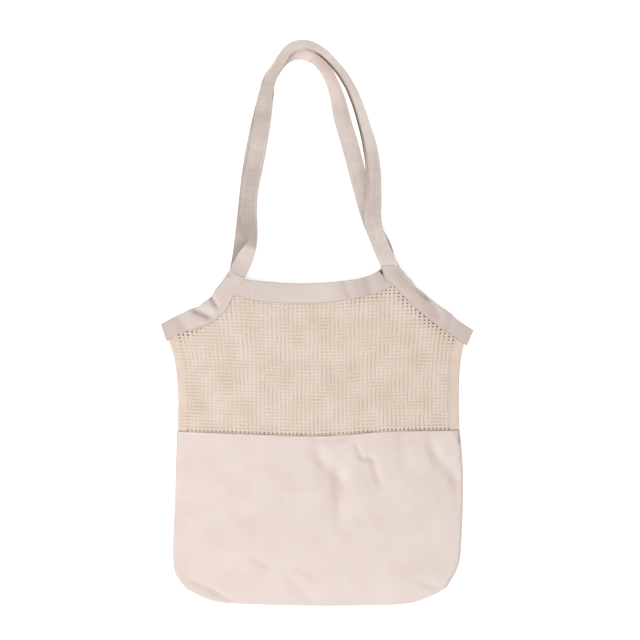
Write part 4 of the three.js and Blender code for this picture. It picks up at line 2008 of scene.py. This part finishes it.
@dataclass(frozen=True)
class ToteBag:
    """Every sub-assembly of the bag, with what its straps, bands and bindings follow."""

    form: BagForm = BagForm()
    front_band: tuple[Points, Points] = (
        ((-70, 54.2), (-20, 51.4), (30, 54.2), (66, 60.5)),
        ((-88, 30.6), (-60, 26.6), (-15, 25), (30, 28.4), (70, 36.4), (85, 41.6), (96.5, 47)),
    )
    back_band: tuple[Points, Points] = (
        ((-72, 40), (-20, 31), (30, 35), (68, 49)),
        ((-88, 19.5), (-60, 10.5), (-15, 7.5), (30, 11.5), (70, 25)),
    )
    front_strap: Points = (
        (-93, 83.6, 9.5, -20, 0), (-82.9, 107.5, 3, -60, 10), (-88.2, 137.7, 3, -16, 4),
        (-87.5, 169.8, 2.6, 0, 2), (-79.7, 209.8, 2.6, 0, 2), (-72.5, 249.7, 2.6, 4, 2),
        (-68.3, 279.5, 2.9, 12, 4), (-66, 297.9, 4.4, 31, 6), (-60.8, 312.3, 6.6, 50, 6),
        (-55, 325.2, 6.2, 52, 6), (-47.6, 337.5, 4.2, 51, 6), (-39.6, 351.6, 2.2, 49, 6),
        (-28.5, 360, 0.8, 49, 6), (-15.9, 361.9, 0.3, 47, 6), (-3.5, 358.4, 0, 48, 6),
        (9, 350.9, 0, 52, 6), (23.5, 336.4, 0, 54, 6), (36.9, 319, 0, 53, 6), (50.3, 293.1, 0, 49, 8),
        (62.5, 256.4, 0, 42, 10), (70.2, 225.6, 1, 30, 8), (74, 193.7, 2.6, 26, 4),
        (73.6, 155.8, 3.6, 8, 4), (73.6, 132.5, 5.2, 4, 2), (80.3, 108.7, 8, 4, 2),
    )
    back_strap: Points = (
        (-98.8, 88, 0, 0, 0), (-95, 118, 0, 0, 0), (-91.3, 152, 0, 0, 2), (-86.6, 194, 0, 0, 2),
        (-79, 238, 0, 2, 2), (-70.4, 275.9, 0, 8, 4), (-65.6, 296.6, 0, 27, 6), (-63.2, 312.8, 0, 43, 6),
        (-55, 328.4, 0, 38, 6), (-44.8, 342.2, 0, 33, 6), (-31.4, 351.2, 0, 20, 4),
        (-18.2, 353, 0, 12, 4), (-5.9, 349, 0, 14, 4), (2, 341.8, 0, 34, 6), (10.4, 330.8, 0, 40, 6),
        (17.2, 319.4, 0, 40, 6), (24, 303.3, 0, 35, 6), (29, 285.6, 0, 22, 4), (34, 263.9, 0, 8, 2),
        (43.1, 233.6, 0, 0, 2), (53.5, 194, 0, 0, 2), (63.5, 157, 0, 0, 2), (74.5, 124, 0, 0, 2),
        (87, 98, 0, 0, 2),
    )
    # the front strap's tone with painted light and shade along it, and painted shadow along its inner edge
    front_tone_and_light: Points = (
        (0.0, -0.45, 0, 0), (0.05, -0.05, 0, 0), (0.066, 0.0, 0, 0), (0.082, -0.45, 0, 0),
        (0.13, -0.4, 0, 0), (0.3, -0.36, 0, 0), (0.4, -0.45, 0, 0), (0.44, -0.3, 0, 0), (0.47, -0.15, 0, 0),
        (0.5, -0.1, 0, 0), (0.53, 0.0, 0.8, 0), (0.545, 0.1, 2.3, 0), (0.6, -0.1, 2.2, 0),
        (0.7, 0.05, 2.2, 0), (0.76, -0.1, 1.6, 0), (0.8, -0.32, 0.5, 0), (0.87, -0.34, 0, 0),
        (0.92, -0.2, 0, 0), (1.0, -0.1, 0, 0),
    )
    # the back strap's tone with painted light and shade along it, and painted shadow along its outer edge
    back_tone_and_light: Points = (
        (0.0, -0.9, 0, 0), (0.04, -1.2, 0, 0), (0.065, -0.85, 0, 0), (0.09, -0.35, 0, 0),
        (0.14, -0.35, 0, 0), (0.3, -0.4, 0, 0), (0.38, -0.4, 0, 0.9), (0.415, -0.15, 0, 0.8),
        (0.44, 0.5, 0, 0.2), (0.46, 0.8, 0, 0), (0.5, 1.0, 0, 0), (0.58, 0.7, 0, 0), (0.66, -0.1, 0, 0),
        (0.8, -0.2, 0, 0), (0.92, -0.3, 0, 0), (0.95, -0.9, 0, 0), (1.0, -0.9, 0, 0),
    )
    left_ruches: tuple[Crease, ...] = (
        Crease((-158, 16), (-140.5, 8), 3.2, 7.5, 3.8, painted_shading=1.5, tail=5),
        Crease((-137.5, 34.5), (-131.5, 24.5), 3.0, 3.8, 3.2, painted_shading=1.35, tail=5),
        Crease((-184, 6), (-172, -8), 0.9, 7, 5, painted_shading=0.3),
        Crease((-116, 58), (-100, 40), 0.6, 6, 6),
    )
    right_ruches: tuple[Crease, ...] = (
        Crease((131.5, 43), (143, 33), 2.4, 3, 3.5, painted_shading=0.9, tail=7),
        Crease((110, 64), (118, 55), 1.6, 3, 6, painted_shading=0.4),
        Crease((153, 19), (158, 12), 1.4, 5, 5, painted_shading=0.5, tail=5),
        Crease((148, 34), (154, 8), 1.0, 8, 8, painted_shading=0.3),
        Crease((176, 10), (170, -8), 0.8, 7, 7, painted_shading=0.3),
    )
    bumps: tuple[Points, Points] = (
        ((0.33, 1.6, 9), (0.45, -0.4, 3.5), (0.54, 1.2, 6), (0.64, -0.6, 4), (0.78, 2.0, 14)),
        ((0.33, 2.4, 16), (0.55, 0.4, 6), (0.665, -1.4, 4), (0.76, 0.8, 6), (0.87, 0.5, 6)),
    )
    inner_bumps: tuple[Points, Points] = (
        ((0.3, 2.0, 12), (0.5, 5.0, 16), (0.66, 3.0, 8)),
        ((0.9, 3.5, 7),),
    )
    front_slants: tuple[tuple[float, float], ...] = ((3.0, 0.5), (3.5, -7.0))

    def strap(self, face: Face) -> Strap:
        """The strap of one face.

        Args:
            face: Which face.

        Returns:
            The front strap, which is turned over on its way, or the plainer back one.
        """
        if face is Face.FRONT:
            return Strap(self.form, face, self.front_strap, self.front_tone_and_light, creases=(0.07, 0.12, 0.88))
        back = self.back_strap, self.back_tone_and_light
        return Strap(self.form, face, *back, creases=(0.71, 0.78, 0.83), seed=52)

    def binding(self, face: Face, side: Side) -> ArmholeBinding:
        """One binding; the upper ends of the front ones are cut on a slant.

        Args:
            face: Which face it is on.
            side: Which side it is on.

        Returns:
            The binding with the ruches and bumps of its side.
        """
        creases = self.left_ruches if side is Side.LEFT else self.right_ruches
        at = int(side is Side.RIGHT)
        slant = self.front_slants[at] if face is Face.FRONT else (0.0, 0.0)
        bumps = {"bumps": self.bumps[at], "inner_bumps": self.inner_bumps[at]}
        return ArmholeBinding(self.form, face, side, creases=creases, slant=slant, **bumps)

    def net(self, face: Face, band: tuple[Points, Points]) -> NetPanel:
        """The net of one face; the back one lies half a mesh aside.

        Args:
            face: Which face.
            band: The upper and lower line of the mouth band on that face.

        Returns:
            The net.
        """
        if face is Face.FRONT:
            return NetPanel(self.form, face, band)
        return NetPanel(self.form, face, band, phase=(0.9, 0.7), seed=91)

    def dress(self, wardrobe: Wardrobe) -> list[bpy.types.Object]:
        """Builds every piece of the bag.

        Args:
            wardrobe: The finishes.

        Returns:
            The pieces.
        """
        pieces: list[bpy.types.Object] = []
        for face, band in ((Face.BACK, self.back_band), (Face.FRONT, self.front_band)):
            parts = [
                CanvasPanel(self.form, face),
                self.net(face, band),
                MouthBand(self.form, face, *band),
                self.binding(face, Side.LEFT),
                self.binding(face, Side.RIGHT),
                self.strap(face),
            ]
            for part in parts:
                made = part.dress(wardrobe)
                log.info("%s %s: %s", face.value, type(part).__name__, [piece.name for piece in made])
                pieces += made
        return pieces


# ---- Studio ---------------------------------------------------------------------------------


@dataclass(frozen=True)
class Studio:
    """Pale floor, soft light and the camera straight above the bag, in metres."""

    frame_width: float = 0.8352
    centre: tuple[float, float] = (0.0046, 0.0039)
    camera_height: float = 2.8
    sensor: float = 36.0
    floor_size: float = 8.0
    floor_drop: float = 0.0003
    sky: float = 0.86
    key_power: float = 81.0
    key_place: tuple[float, float, float] = (-1.7, -1.4, 3.9)
    key_size: float = 2.2

    def floor(self) -> bpy.types.Object:
        """Lays the paper under the bag.

        Returns:
            The sheet.
        """
        half = self.floor_size / 2
        corners = [(-half, -half), (half, -half), (half, half), (-half, half)]
        mesh = bpy.data.meshes.new("floor")
        mesh.from_pydata([(x, y, -self.floor_drop) for x, y in corners], [], [(0, 1, 2, 3)])
        mesh.materials.append(StudioPaper().material())
        paper = bpy.data.objects.new("floor", mesh)
        bpy.context.scene.collection.objects.link(paper)
        return paper

    def light(self) -> None:
        """Adds an even sky and one large soft lamp from the lower left."""
        world = bpy.data.worlds.new("soft_sky")
        world.use_nodes = True
        background = world.node_tree.nodes["Background"]
        background.inputs["Color"].default_value = WHITE
        background.inputs["Strength"].default_value = self.sky
        bpy.context.scene.world = world
        lamp = bpy.data.lights.new("key", "AREA")
        lamp.energy = self.key_power
        lamp.size = self.key_size
        key = bpy.data.objects.new("key", lamp)
        key.location = self.key_place
        aim = np.array([*self.centre, 0.0]) - np.array(self.key_place)
        pitch = math.acos(-aim[2] / float(np.linalg.norm(aim)))
        key.rotation_euler = (pitch, 0.0, math.atan2(aim[1], aim[0]) - math.pi / 2)
        bpy.context.scene.collection.objects.link(key)

    def camera(self) -> bpy.types.Object:
        """Hangs the camera over the bag.

        Returns:
            The camera, whose view is as wide as the frame on the floor.
        """
        data = bpy.data.cameras.new("camera")
        data.sensor_width = self.sensor
        data.lens = self.sensor * self.camera_height / self.frame_width
        camera = bpy.data.objects.new("camera", data)
        camera.location = (*self.centre, self.camera_height)
        bpy.context.scene.collection.objects.link(camera)
        bpy.context.scene.camera = camera
        bpy.context.scene.view_settings.view_transform = "Standard"
        return camera


def main() -> None:
    """Builds the studio and the bag, and notes how many pieces it made."""
    logging.basicConfig(level=logging.INFO, format="%(message)s")
    studio = Studio()
    studio.camera()
    studio.floor()
    studio.light()
    pieces = ToteBag().dress(Wardrobe.filled())
    log.info("%d pieces", len(pieces))


if __name__ == "__main__":
    main()
